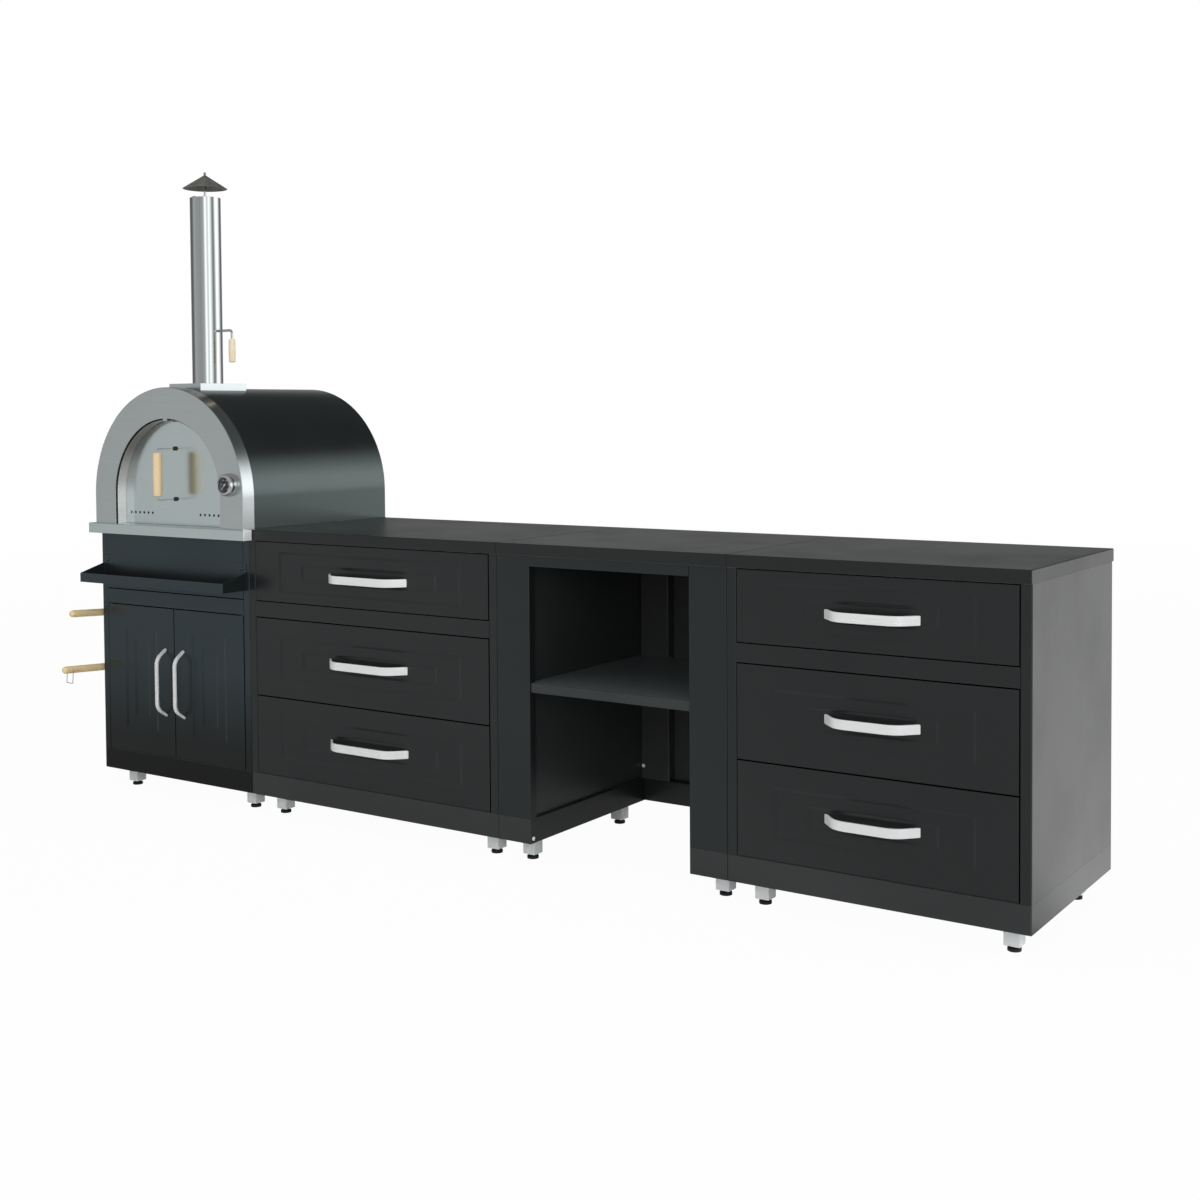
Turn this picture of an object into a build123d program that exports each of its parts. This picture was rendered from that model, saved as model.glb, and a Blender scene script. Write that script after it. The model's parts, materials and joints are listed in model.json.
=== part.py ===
from build123d import *
import os
from math import cos, radians, sin, sqrt

# Outdoor kitchen: an oven unit, two drawer units and an open bay in one row, all folded from steel sheet.
# Working frame: X to the right from the oven unit's left side, Y back from the cabinet fronts, Z up from
# the floor. Every size is in millimetres.

# Overall layout
worktop_height = 900
worktop_thickness = 33
worktop_front_overhang = 4
worktop_back_overhang = 12
cabinet_depth = 625
oven_unit_width = 705
left_unit_width = 977
bay_width = 733
right_unit_width = 787

# Folded sheet
sheet = 2
bend = 2.5
lip = 25
worktop_edge_radius = 2.5
seat_gap = 0.3

# Plinth, legs and levelling feet
plinth_bottom = 67
plinth_height = 68
leg_size = 40
leg_wall = 2
leg_side_inset = 67
leg_front_inset = 79
bay_leg_side_inset = 54
bay_leg_front_inset = 88
foot_radius = 16.5
foot_height = 8
foot_nut_radius = 10
foot_nut_height = 6
foot_stem_radius = 5
foot_stem_length = 30
foot_stem_clearance = 0.1

# Cabinet fronts
stile_width = 28
stile_return = 25
front_thickness = 18
front_gap = 3
front_side_gap = 2
top_front_height = 184
rail_height = 48
rail_depth = 20
top_rail_height = 20
top_rail_setback = 22

# Pressed panels: two steps, each sunk by press_depth with walls at press_slope
press_depth = 3
press_slope = 45
press_inset_x = 100
press_inset_z = 56
top_press_inset_z = 28
press_step_x = 92
press_step_z = 36
door_press_inset_x = 82
door_press_inset_z = 75
door_press_step = 42

# Drawer boxes and runners
drawer_sheet = 1.5
drawer_back_gap = 67
drawer_box_lift = 15
drawer_box_drop = 40
runner_depth = 14
runner_slot = 12
runner_wall = 2
runner_front = 21
runner_back_inset = 20
runner_rise = 45
runner_side_gap = 1

# Bow handles
handle_thickness = 7
handle_bend = 28
handle_edge = 1.5
drawer_handle_width = 24
drawer_handle_reach = 43
drawer_handle_run = 43
left_handle_length = 310
right_handle_length = 250
door_handle_width = 13
door_handle_reach = 41
door_handle_run = 26
door_handle_length = 225
door_handle_offset = 43
top_handle_drop = 6
lower_handle_rise = 4

# Cabinet doors and their hinge pins
hinge_pin_radius = 3
hinge_pin_setback = 5.5
hinge_pin_inset = 9
hinge_pin_engagement = 10
hinge_clearance = 0.05

# Open bay
post_width = 112
post_return = 30
bay_wall_recess = 12
rear_post_width = 100
rear_post_depth = 35
bay_rail_height = 29
shelf_height = 515
shelf_lip = 27
shelf_setback = 6
shelf_side_gap = 0.5
cleat_width = 12
cleat_height = 20
cleat_end_inset = 60

# Utensil tray
tray_depth = 100
tray_drop = 160
tray_back_height = 58
tray_front_height = 30
tray_side_inset = 12
tray_plate_rise = 26
tray_screw_rise = 10
tray_screw_inset = 20
screw_radius = 2.5
screw_hole_radius = 3
screw_head_radius = 6
screw_head_height = 3

# Oven shell
oven_front_overhang = 42
oven_left_overhang = 14
oven_right_ear = 20
oven_ear_gap = 1
oven_back_overhang = 20
arch_side_inset = 1
arch_face_width = 101
arch_spring = 98
arch_depth = 49
arch_front = 23
arch_edge_radius = 3
arch_tab_width = 20
arch_tab_height = 9
liner_inset = 5
liner_gap = 5
mouth_stop = 12
shell_step = 3
shell_back_inset = 2
insulation_thickness = 49
dome_sheet = 3
dome_front = 87
insulation_back = 40
hearth_thickness = 20
hearth_gap = 1
insulation_gap = 0.5

# Oven door
door_setback = 18
oven_door_thickness = 20
oven_door_gap = 1
air_hole_radius = 3.5
air_hole_pitch = 21
air_hole_count = 6
air_hole_margin = 25
air_hole_rise = 37
bail_wire_radius = 1.75
bail_reach = 75
bail_height = 165
bail_rise = 168
bail_bend = 8
bail_boss_radius = 7
bail_boss_height = 6
grip_radius = 15
grip_length = 140
grip_end_radius = 3
grip_clearance = 0.3

# Thermometer
gauge_radius = 37
gauge_depth = 26
gauge_edge_radius = 11
gauge_window_radius = 25
gauge_recess = 8
gauge_inset = 44
gauge_rise = 139
gauge_stem_radius = 4
gauge_stem_length = 30
gauge_lens_thickness = 2
needle_length = 20
needle_tail = 7
needle_width = 2.4
needle_thickness = 0.8
needle_pivot_radius = 1.5
needle_rest_angle = -135

# Chimney
flue_base_width = 150
flue_base_depth = 200
flue_base_rise = 16
pipe_radius = 50
pipe_wall = 1.5
pipe_setback = 162
pipe_rise = 631
pipe_clearance = 0.3
cap_radius = 73
cap_height = 44
cap_lift = 31
cap_sheet = 2
cap_bar_width = 14
cap_rod_radius = 4
cap_rod_end = 10

# Damper
damper_rise = 190
damper_plate_thickness = 2
damper_plate_gap = 2
spindle_radius = 4
spindle_reach = 67
spindle_bend = 10
damper_drop = 28
damper_grip_radius = 11
damper_grip_length = 77

# Tools hanging on the left side
tool_offset = 28
tool_tilt = 3.5
tool_handle_radius = 12
tool_shaft_radius = 5
upper_tool_height = 591
lower_tool_height = 404
upper_tool_front = 113
lower_tool_front = 146
tool_handle_length = 330
tool_shaft_length = 110
peel_width = 170
peel_length = 150
scraper_width = 90
scraper_length = 60
tool_head_thickness = 3
tool_head_overlap = 10
hook_front = 50
hook_spacing = 120
hook_width = 20
hook_thickness = 3
hook_rise = 10
loop_wire_radius = 1.25
loop_setback = 30
loop_clearance = 2
loop_drop = 44
loop_bore_clearance = 0.05

# Levels and places that follow from the sizes above
carcass_bottom = plinth_bottom + plinth_height
carcass_top = worktop_height - worktop_thickness
top_front_high = carcass_top - front_gap
top_front_low = top_front_high - top_front_height
rail_high = top_front_low - front_gap
rail_low = rail_high - rail_height
lower_high = rail_low - front_gap
lower_low = carcass_bottom + front_gap
lower_front_height = (lower_high - lower_low - front_gap) / 2

oven_x = 0
left_x = oven_x + oven_unit_width
bay_x = left_x + left_unit_width
right_x = bay_x + bay_width
row_end = right_x + right_unit_width

oven_mid = oven_x + oven_unit_width / 2
spring_z = worktop_height + arch_spring
arch_radius = oven_unit_width / 2 - arch_side_inset
mouth_radius = arch_radius - arch_face_width
liner_radius = mouth_radius - liner_inset
oven_back = cabinet_depth + oven_back_overhang
arch_back = arch_depth - arch_front
shell_radius = arch_radius - shell_step
shell_back = oven_back - shell_back_inset
blanket_outer = shell_radius - sheet - insulation_gap
blanket_inner = blanket_outer - insulation_thickness
blanket_back = shell_back - sheet - insulation_gap
blanket_seat = blanket_back - insulation_back
dome_radius = blanket_inner - insulation_gap - dome_sheet
dome_back = blanket_seat - insulation_gap
crown_z = spring_z + shell_radius
pipe_top = crown_z + pipe_rise
damper_height = crown_z + damper_rise
tool_axis_x = oven_x - tool_offset
loop_half_width = tool_handle_radius + loop_clearance + loop_wire_radius
hook_reach = tool_offset + tool_handle_radius + seat_gap + hook_thickness

# The part's origin is on the floor, in the middle of its outline
tool_tip = (lower_tool_front - tool_handle_radius) * cos(radians(tool_tilt)) + tool_handle_radius
left_reach = max(tool_offset + loop_half_width + loop_wire_radius, hook_reach)
front_reach = max(tool_tip, tray_depth)
to_origin = Pos(-(row_end - left_reach) / 2, -(oven_back - front_reach) / 2, 0)


def block(x0, x1, y0, y1, z0, z1):
    return Pos((x0 + x1) / 2, (y0 + y1) / 2, (z0 + z1) / 2) * Box(x1 - x0, y1 - y0, z1 - z0)


def rod(start, end, radius):
    axis = Vector(*end) - Vector(*start)
    plane = Plane(origin=start, z_dir=axis)
    return extrude(plane * Circle(radius), amount=axis.length)


def group(*shapes):
    return Compound([solid for shape in shapes for solid in shape.solids()])


def folded_strip(points, z0, z1, close=False):
    # Sheet bent along a plan outline through the middle of the sheet, standing from z0 to z1
    outline = FilletPolyline(*points, radius=bend, close=close)
    return Pos(0, 0, z0) * extrude(trace(outline, line_width=sheet), amount=z1 - z0)


def pan_behind(x0, x1, y0, y1, z0, z1):
    # Upright pan: skin to the front, folded edges, lips round its open back
    skin = block(x0, x1, y0, y1, z0, z1)
    cavity = block(x0 + sheet, x1 - sheet, y0 + sheet, y1 - sheet, z0 + sheet, z1 - sheet)
    window = block(x0 + lip, x1 - lip, y1 - 2 * sheet, y1 + sheet, z0 + lip, z1 - lip)
    return skin - cavity - window


def plan(x0, x1, y0, y1):
    return Pos((x0 + x1) / 2, (y0 + y1) / 2) * Rectangle(x1 - x0, y1 - y0)


def pan_below(outline, z0, z1):
    # Flat pan: skin on top with softened edges, lips round its open underside
    skin = Pos(0, 0, z0) * extrude(outline, amount=z1 - z0)
    soft_edges = skin.edges().filter_by(Axis.Z) + skin.edges().group_by(Axis.Z)[-1]
    skin = fillet(soft_edges, worktop_edge_radius)
    hollow = offset(outline, -sheet, kind=Kind.INTERSECTION)
    window = offset(outline, -lip, kind=Kind.INTERSECTION)
    skin -= Pos(0, 0, z0 + sheet) * extrude(hollow, amount=z1 - z0 - 2 * sheet)
    return skin - Pos(0, 0, z0 - sheet) * extrude(window, amount=3 * sheet)


def sunk_panel(mid_x, mid_z, width, height, y0, depth):
    # Frustum that narrows towards the back, as a press tool leaves it
    plane = Plane(origin=(mid_x, y0, mid_z), x_dir=(1, 0, 0), z_dir=(0, 1, 0))
    return extrude(plane * Rectangle(width, height), amount=depth, taper=press_slope)


def pressed_front(x0, x1, z0, z1, inset_x, inset_z, step_x, step_z):
    # Pan with a panel pressed inwards in two steps, at the sheet's own thickness
    mid_x = (x0 + x1) / 2
    mid_z = (z0 + z1) / 2
    outer = (x1 - x0 - 2 * inset_x, z1 - z0 - 2 * inset_z)
    inner = (outer[0] - 2 * step_x, outer[1] - 2 * step_z)
    front = pan_behind(x0, x1, 0, front_thickness, z0, z1)
    for level, (width, height) in enumerate((outer, inner)):
        y0 = level * press_depth
        front += sunk_panel(mid_x, mid_z, width + 2 * sheet, height + 2 * sheet, y0, press_depth + sheet)
    for level, (width, height) in enumerate((outer, inner)):
        y0 = level * press_depth
        front -= sunk_panel(mid_x, mid_z, width, height, y0, press_depth)
    return front


def bow_handle(length, width, reach, run, seat):
    # Flat strap along X with slanted legs that stand on the plane y = seat
    bar_y = handle_thickness / 2 - reach
    rise = seat - bar_y
    foot = length / 2 - handle_thickness / 2 * sqrt(run**2 + rise**2) / rise
    over = handle_thickness
    drift = over * run / rise
    outline = FilletPolyline(
        (-foot - drift, seat + over),
        (-foot + run, bar_y),
        (foot - run, bar_y),
        (foot + drift, seat + over),
        radius=handle_bend,
    )
    strap = extrude(trace(outline, line_width=handle_thickness), amount=width)
    strap = chamfer(strap.edges().group_by(Axis.Z)[0] + strap.edges().group_by(Axis.Z)[-1], handle_edge)
    wall = block(-length, length, seat, seat + length, -width, 2 * width)
    return Pos(0, 0, -width / 2) * (strap - wall)


def carcass(x0, x1):
    # Folded side, its mirror image, back, base, mid rail and two top rails of one cabinet
    half = sheet / 2
    inner = x0 + stile_width
    far = x1 - stile_width
    side = folded_strip(
        (
            (inner - half, stile_return),
            (inner - half, half),
            (x0 + half, half),
            (x0 + half, cabinet_depth - half),
            (inner - half, cabinet_depth - half),
            (inner - half, cabinet_depth - stile_return),
        ),
        carcass_bottom,
        carcass_top,
    )
    other_side = mirror(side, about=Plane.YZ.offset((x0 + x1) / 2))
    back = block(inner, far, cabinet_depth - sheet, cabinet_depth, carcass_bottom + sheet, carcass_top)
    base = block(inner, far, 0, cabinet_depth, carcass_bottom, carcass_bottom + sheet)
    mid_rail = channel_rail(inner, far, 0, rail_low, rail_high)
    top_low = carcass_top - top_rail_height
    front_rail = channel_rail(inner, far, top_rail_setback, top_low, carcass_top)
    back_rail_y = cabinet_depth - sheet - rail_depth
    back_rail = channel_rail(inner, far, back_rail_y, top_low, carcass_top)
    return group(side, other_side, back, base, mid_rail, front_rail, back_rail)


def channel_rail(x0, x1, y0, z0, z1):
    # Cross rail with a flat front and two flanges to the back
    face = block(x0, x1, y0, y0 + rail_depth, z0, z1)
    return face - block(x0 - sheet, x1 + sheet, y0 + sheet, y0 + 2 * rail_depth, z0 + sheet, z1 - sheet)


def plinth_ring(x0, x1, y0, y1):
    # Skirt all round, with flanges turned inwards at its top and bottom
    ring = block(x0, x1, y0, y1, plinth_bottom, carcass_bottom)
    ring = fillet(ring.edges().filter_by(Axis.Z), bend + sheet / 2)
    low = plinth_bottom + sheet
    high = carcass_bottom - sheet
    inside = block(x0 + sheet, x1 - sheet, y0 + sheet, y1 - sheet, low, high)
    hole = block(x0 + lip, x1 - lip, y0 + lip, y1 - lip, plinth_bottom - sheet, carcass_bottom + sheet)
    return ring - inside - hole


def leg(x, y):
    low = foot_height + foot_nut_height
    half = leg_size / 2
    tube = block(x - half, x + half, y - half, y + half, low, carcass_bottom)
    inside = half - leg_wall
    tube -= block(x - inside, x + inside, y - inside, y + inside, low + leg_wall, carcass_bottom + leg_wall)
    bore = foot_stem_radius + foot_stem_clearance
    return tube - rod((x, y, low - leg_wall), (x, y, low + 2 * leg_wall), bore)


def levelling_foot(x, y):
    nut_top = foot_height + foot_nut_height
    foot = rod((x, y, 0), (x, y, foot_height), foot_radius)
    nut = Pos(x, y, foot_height) * RegularPolygon(foot_nut_radius, side_count=6)
    foot += extrude(nut, amount=foot_nut_height)
    return foot + rod((x, y, foot_height), (x, y, nut_top + foot_stem_length), foot_stem_radius)


def leg_places(x0, x1, side_inset, front_inset):
    near_and_far = (front_inset, cabinet_depth - front_inset)
    return [(x, y) for x in (x0 + side_inset, x1 - side_inset) for y in near_and_far]


def arch_solid(radius, floor, y0, y1):
    # Upright slab with straight sides below the spring line and a round crown
    left = oven_mid - radius
    right = oven_mid + radius
    sides = Polyline((right, spring_z), (right, floor), (left, floor), (left, spring_z))
    crown = ThreePointArc((left, spring_z), (oven_mid, spring_z + radius), (right, spring_z))
    face = Plane.XZ.offset(-y1) * make_face([sides, crown])
    return extrude(face, amount=y1 - y0, dir=(0, -1, 0))


def arch_tube(outer, inner, y0, y1):
    # Wall between two arches of one centre, open below and at both ends
    hollow = arch_solid(inner, worktop_height - sheet, y0 - sheet, y1 + sheet)
    return arch_solid(outer, worktop_height, y0, y1) - hollow


def tool(height, front, head_width, head_length):
    # Round wooden handle with a domed tip, modelled along Y and then tilted up to the front
    handle = rod((0, tool_handle_radius - front, 0), (0, tool_handle_length - front, 0), tool_handle_radius)
    handle += Pos(0, tool_handle_radius - front, 0) * Sphere(tool_handle_radius)
    shaft_start = tool_handle_length - front
    shaft_end = shaft_start + tool_shaft_length
    metal = rod((0, shaft_start, 0), (0, shaft_end, 0), tool_shaft_radius)
    blade_start = shaft_end - tool_head_overlap
    half = tool_head_thickness / 2
    blade = block(-half, half, blade_start, blade_start + head_length, -head_width / 2, head_width / 2)
    corner = blade.edges().filter_by(Axis.X)
    metal += fillet(corner, head_length / 4)
    turn = Pos(tool_axis_x, 0, height) * Rot(-tool_tilt, 0, 0)
    return turn, handle, metal


def hook(height, y):
    # Flat strap that stands out of the side panel under a tool and turns up at its end
    under = height - y * sin(radians(tool_tilt)) - tool_handle_radius / cos(radians(tool_tilt)) - seat_gap
    drop = hook_width / 2 * sin(radians(tool_tilt))
    top = under - drop
    y0 = y - hook_width / 2
    y1 = y + hook_width / 2
    arm = block(oven_x - hook_reach, oven_x, y0, y1, top - hook_thickness, top)
    end = oven_x - hook_reach
    arm += block(end, end + hook_thickness, y0, y1, top - hook_thickness, top + hook_rise)
    return arm + block(oven_x - hook_thickness, oven_x, y0, y1, top - hook_thickness, top + hook_rise)


nodes = {}

# Cabinets, plinths, legs and feet
fascia = pan_behind(
    oven_x + stile_width,
    oven_x + oven_unit_width - stile_width,
    0,
    front_thickness,
    top_front_low,
    top_front_high,
)
nodes["oven_unit_carcass"] = group(carcass(oven_x, oven_x + oven_unit_width), fascia)
nodes["left_unit_carcass"] = carcass(left_x, left_x + left_unit_width)
nodes["right_unit_carcass"] = carcass(right_x, row_end)

bay_end = bay_x + bay_width
bay_inner_left = bay_x + post_width
bay_inner_right = bay_end - post_width
rear_post_front = cabinet_depth - rear_post_depth
rear_plinth = block(
    bay_inner_left, bay_inner_right, rear_post_front, cabinet_depth, plinth_bottom, carcass_bottom
)
rear_plinth -= block(
    bay_x,
    bay_end,
    rear_post_front + sheet,
    cabinet_depth - sheet,
    plinth_bottom + sheet,
    carcass_bottom - sheet,
)
nodes["plinth_skirts"] = group(
    plinth_ring(oven_x, oven_x + oven_unit_width, 0, cabinet_depth),
    plinth_ring(left_x, left_x + left_unit_width, 0, cabinet_depth),
    plinth_ring(bay_x, bay_inner_left, 0, cabinet_depth),
    plinth_ring(bay_inner_right, bay_end, 0, cabinet_depth),
    plinth_ring(right_x, row_end, 0, cabinet_depth),
    rear_plinth,
)

legs_at = leg_places(oven_x, oven_x + oven_unit_width, leg_side_inset, leg_front_inset)
legs_at += leg_places(left_x, left_x + left_unit_width, leg_side_inset, leg_front_inset)
legs_at += leg_places(bay_x, bay_end, bay_leg_side_inset, bay_leg_front_inset)
legs_at += leg_places(right_x, row_end, leg_side_inset, leg_front_inset)
nodes["legs"] = group(*[leg(x, y) for x, y in legs_at])
nodes["levelling_feet"] = group(*[levelling_foot(x, y) for x, y in legs_at])

# Worktops
worktop_spans = {
    "left_worktop": (left_x, left_x + left_unit_width),
    "bay_worktop": (bay_x, bay_end),
    "right_worktop": (right_x, row_end),
}
for name, (x0, x1) in worktop_spans.items():
    outline = plan(x0, x1, -worktop_front_overhang, cabinet_depth + worktop_back_overhang)
    nodes[name] = pan_below(outline, carcass_top, worktop_height)

# Open bay: hollow pedestals with a set-back inner wall, rear posts, back panel, rail, shelf and cleats
half = sheet / 2
wall_x = bay_inner_left - bay_wall_recess
pedestal = folded_strip(
    (
        (bay_x + half, half),
        (bay_inner_left - half, half),
        (bay_inner_left - half, post_return - half),
        (wall_x - half, post_return - half),
        (wall_x - half, cabinet_depth - half),
        (bay_x + half, cabinet_depth - half),
    ),
    carcass_bottom,
    carcass_top,
    close=True,
)
pedestal_floor = block(
    bay_x + sheet + bend,
    wall_x - sheet - bend,
    sheet + bend,
    cabinet_depth - sheet - bend,
    carcass_bottom,
    carcass_bottom + sheet,
)
rear_post = folded_strip(
    (
        (wall_x + half, cabinet_depth - sheet),
        (wall_x + half, rear_post_front + half),
        (wall_x + rear_post_width - half, rear_post_front + half),
        (wall_x + rear_post_width - half, cabinet_depth),
    ),
    carcass_bottom,
    carcass_top,
)
cleat_top = shelf_height - shelf_lip
cleat_start = cleat_end_inset
cleat_end = cabinet_depth - cleat_end_inset
cleat = block(wall_x, wall_x + cleat_width, cleat_start, cleat_end, cleat_top - sheet, cleat_top)
cleat += block(wall_x, wall_x + sheet, cleat_start, cleat_end, cleat_top - cleat_height, cleat_top)
bay_middle = Plane.YZ.offset((bay_x + bay_end) / 2)
top_rail = channel_rail(bay_inner_left, bay_inner_right, 0, carcass_top - bay_rail_height, carcass_top)
one_side = (pedestal, pedestal_floor, cleat)
nodes["bay_frame"] = group(*one_side, *[mirror(piece, about=bay_middle) for piece in one_side], top_rail)
panel_left = wall_x + rear_post_width
panel_right = bay_end - (panel_left - bay_x)
panel_front = cabinet_depth - sheet
back_panel = block(panel_left, panel_right, panel_front, cabinet_depth, carcass_bottom, carcass_top)
nodes["bay_back"] = group(rear_post, mirror(rear_post, about=bay_middle), back_panel)

shelf_left = wall_x + shelf_side_gap
shelf_right = bay_end - (shelf_left - bay_x)
nose_left = bay_inner_left + shelf_side_gap
nose_right = bay_end - (nose_left - bay_x)
shelf_start = post_return + shelf_side_gap
shelf_end = rear_post_front - shelf_side_gap
shelf = block(shelf_left, shelf_right, shelf_start, shelf_end, cleat_top, shelf_height)
shelf += block(nose_left, nose_right, shelf_setback, shelf_start + sheet, cleat_top, shelf_height)
shelf = fillet(shelf.edges().filter_by(Axis.X).group_by(Axis.Y)[0], sheet)
hollow_low = cleat_top - sheet
hollow_high = shelf_height - sheet
shelf -= block(
    shelf_left + sheet,
    shelf_right - sheet,
    shelf_start + sheet,
    shelf_end - sheet,
    hollow_low,
    hollow_high,
)
shelf -= block(
    nose_left + sheet,
    nose_right - sheet,
    shelf_setback + sheet,
    shelf_start + 2 * sheet,
    hollow_low,
    hollow_high,
)
nodes["bay_shelf"] = shelf

# Drawers and their runners
drawer_levels = {
    "top": (top_front_low, top_front_high, top_press_inset_z, -top_handle_drop),
    "middle": (lower_high - lower_front_height, lower_high, press_inset_z, lower_handle_rise),
    "bottom": (lower_low, lower_low + lower_front_height, press_inset_z, lower_handle_rise),
}
drawer_units = {
    "left": (left_x, left_x + left_unit_width, left_handle_length),
    "right": (right_x, row_end, right_handle_length),
}
runners = []
for unit, (x0, x1, handle_length) in drawer_units.items():
    mid_x = (x0 + x1) / 2
    unit_middle = Plane.YZ.offset(mid_x)
    front_left = x0 + stile_width + front_side_gap
    front_right = x1 - stile_width - front_side_gap
    runner_x = x0 + stile_width
    box_left = runner_x + runner_depth + runner_side_gap
    box_right = x1 - (box_left - x0)
    for level, (z0, z1, inset_z, handle_shift) in drawer_levels.items():
        name = f"{unit}_drawer_{level}"
        nodes[f"{name}_front"] = pressed_front(
            front_left, front_right, z0, z1, press_inset_x, inset_z, press_step_x, press_step_z
        )
        handle = bow_handle(
            handle_length, drawer_handle_width, drawer_handle_reach, drawer_handle_run, 2 * press_depth
        )
        nodes[f"{name}_handle"] = Pos(mid_x, 0, (z0 + z1) / 2 + handle_shift) * handle

        box_low = z0 + drawer_box_lift
        box_high = z1 - drawer_box_drop
        box_back = cabinet_depth - drawer_back_gap
        box = block(box_left, box_right, front_thickness, box_back, box_low, box_high)
        box -= block(
            box_left + drawer_sheet,
            box_right - drawer_sheet,
            front_thickness + drawer_sheet,
            box_back - drawer_sheet,
            box_low + drawer_sheet,
            box_high + drawer_sheet,
        )
        rib_z = box_low + runner_rise
        rib_half = runner_slot / 2 - seat_gap
        rib_start = runner_x + runner_wall + runner_side_gap
        rib = block(rib_start, box_left, front_thickness, box_back, rib_z - rib_half, rib_z + rib_half)
        nodes[f"{name}_box"] = box + rib + mirror(rib, about=unit_middle)

        runner_half = runner_slot / 2 + runner_wall
        runner_back = cabinet_depth - runner_back_inset
        runner_low = rib_z - runner_half
        runner_high = rib_z + runner_half
        runner_end = runner_x + runner_depth
        runner = block(runner_x, runner_end, runner_front, runner_back, runner_low, runner_high)
        runner -= block(
            runner_x + runner_wall,
            runner_x + 2 * runner_depth,
            0,
            cabinet_depth,
            rib_z - runner_slot / 2,
            rib_z + runner_slot / 2,
        )
        runners += [runner, mirror(runner, about=unit_middle)]
nodes["drawer_runners"] = group(*runners)

# Cabinet doors: each turns on two stub pins near its outer edge
door_left = oven_x + stile_width + front_side_gap
door_right = oven_x + oven_unit_width - stile_width - front_side_gap
oven_middle = Plane.YZ.offset(oven_mid)
hinge_x = door_left + hinge_pin_inset
pin_bore = hinge_pin_radius + hinge_clearance
left_door = pressed_front(
    door_left,
    oven_mid - front_gap / 2,
    lower_low,
    lower_high,
    door_press_inset_x,
    door_press_inset_z,
    door_press_step,
    door_press_step,
)
for z in (lower_low, lower_high):
    left_door -= rod((hinge_x, hinge_pin_setback, z - lip), (hinge_x, hinge_pin_setback, z + lip), pin_bore)
door_handle_z = (lower_low + lower_high) / 2
left_handle = bow_handle(door_handle_length, door_handle_width, door_handle_reach, door_handle_run, 0)
left_handle = Pos(oven_mid - door_handle_offset, 0, door_handle_z) * Rot(0, 90, 0) * left_handle
low_pin = rod(
    (hinge_x, hinge_pin_setback, carcass_bottom + sheet),
    (hinge_x, hinge_pin_setback, lower_low + hinge_pin_engagement),
    hinge_pin_radius,
)
high_pin = rod(
    (hinge_x, hinge_pin_setback, lower_high - hinge_pin_engagement),
    (hinge_x, hinge_pin_setback, rail_low),
    hinge_pin_radius,
)
nodes["left_cabinet_door"] = left_door
nodes["right_cabinet_door"] = mirror(left_door, about=oven_middle)
nodes["left_door_handle"] = left_handle
nodes["right_door_handle"] = mirror(left_handle, about=oven_middle)
hinge_pins = [low_pin, high_pin, mirror(low_pin, about=oven_middle), mirror(high_pin, about=oven_middle)]

# Utensil tray: its sides taper from the back plate down to the front lip, and two screws hold the plate
tray_low = carcass_top - tray_drop
tray_left = oven_x + tray_side_inset
tray_right = oven_x + oven_unit_width - tray_side_inset
tray_side = Plane.YZ.offset(tray_left) * make_face(
    Polyline(
        (0, tray_low),
        (0, tray_low + tray_back_height),
        (-tray_depth, tray_low + tray_front_height),
        (-tray_depth, tray_low),
        close=True,
    )
)
tray = extrude(tray_side, amount=tray_right - tray_left, dir=(1, 0, 0))
tray -= block(
    tray_left + sheet,
    tray_right - sheet,
    sheet - tray_depth,
    -sheet,
    tray_low + sheet,
    tray_low + 2 * tray_back_height,
)
tray_top = tray_low + tray_back_height
tray += block(tray_left, tray_right, -sheet, 0, tray_top - sheet, tray_top + tray_plate_rise)
screw_z = tray_top + tray_screw_rise
screws = []
for screw_x in (tray_left + tray_screw_inset, tray_right - tray_screw_inset):
    tray -= rod((screw_x, -2 * sheet, screw_z), (screw_x, sheet, screw_z), screw_hole_radius)
    head_front = -sheet - screw_head_height
    screw = rod((screw_x, -sheet, screw_z), (screw_x, 0, screw_z), screw_radius)
    screw += rod((screw_x, head_front, screw_z), (screw_x, -sheet, screw_z), screw_head_radius)
    screws.append(screw)
nodes["utensil_tray"] = tray
nodes["pins_and_screws"] = group(*hinge_pins, *screws)

# Oven body: the base pan has an ear that reaches past its right side, in front of the next worktop
ear_back = -worktop_front_overhang - oven_ear_gap
base_outline = plan(oven_x - oven_left_overhang, left_x, -oven_front_overhang, oven_back)
base_outline += plan(oven_mid, left_x + oven_right_ear, -oven_front_overhang, ear_back)
nodes["oven_base"] = pan_below(base_outline, carcass_top, worktop_height)
arch = arch_solid(arch_radius, worktop_height, -arch_front, arch_back)
arch_rim = arch.faces().sort_by(Axis.Y)[0].edges().group_by(Axis.Z)[1:]
arch = fillet([edge for level in arch_rim for edge in level], arch_edge_radius)
arch -= arch_solid(arch_radius - sheet, worktop_height - sheet, sheet - arch_front, arch_back + sheet)
arch -= arch_solid(mouth_radius, worktop_height - sheet, -arch_front - sheet, arch_back)
tab_low = spring_z + mouth_radius - arch_tab_height
arch += block(
    oven_mid - arch_tab_width / 2,
    oven_mid + arch_tab_width / 2,
    -arch_front,
    sheet - arch_front,
    tab_low,
    spring_z + mouth_radius + sheet,
)
gauge_x = oven_mid + mouth_radius + gauge_inset
gauge_z = worktop_height + gauge_rise
gauge_bore = gauge_stem_radius + pipe_clearance
arch -= rod((gauge_x, -2 * arch_front, gauge_z), (gauge_x, arch_back, gauge_z), gauge_bore)
nodes["oven_front_arch"] = arch

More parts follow.
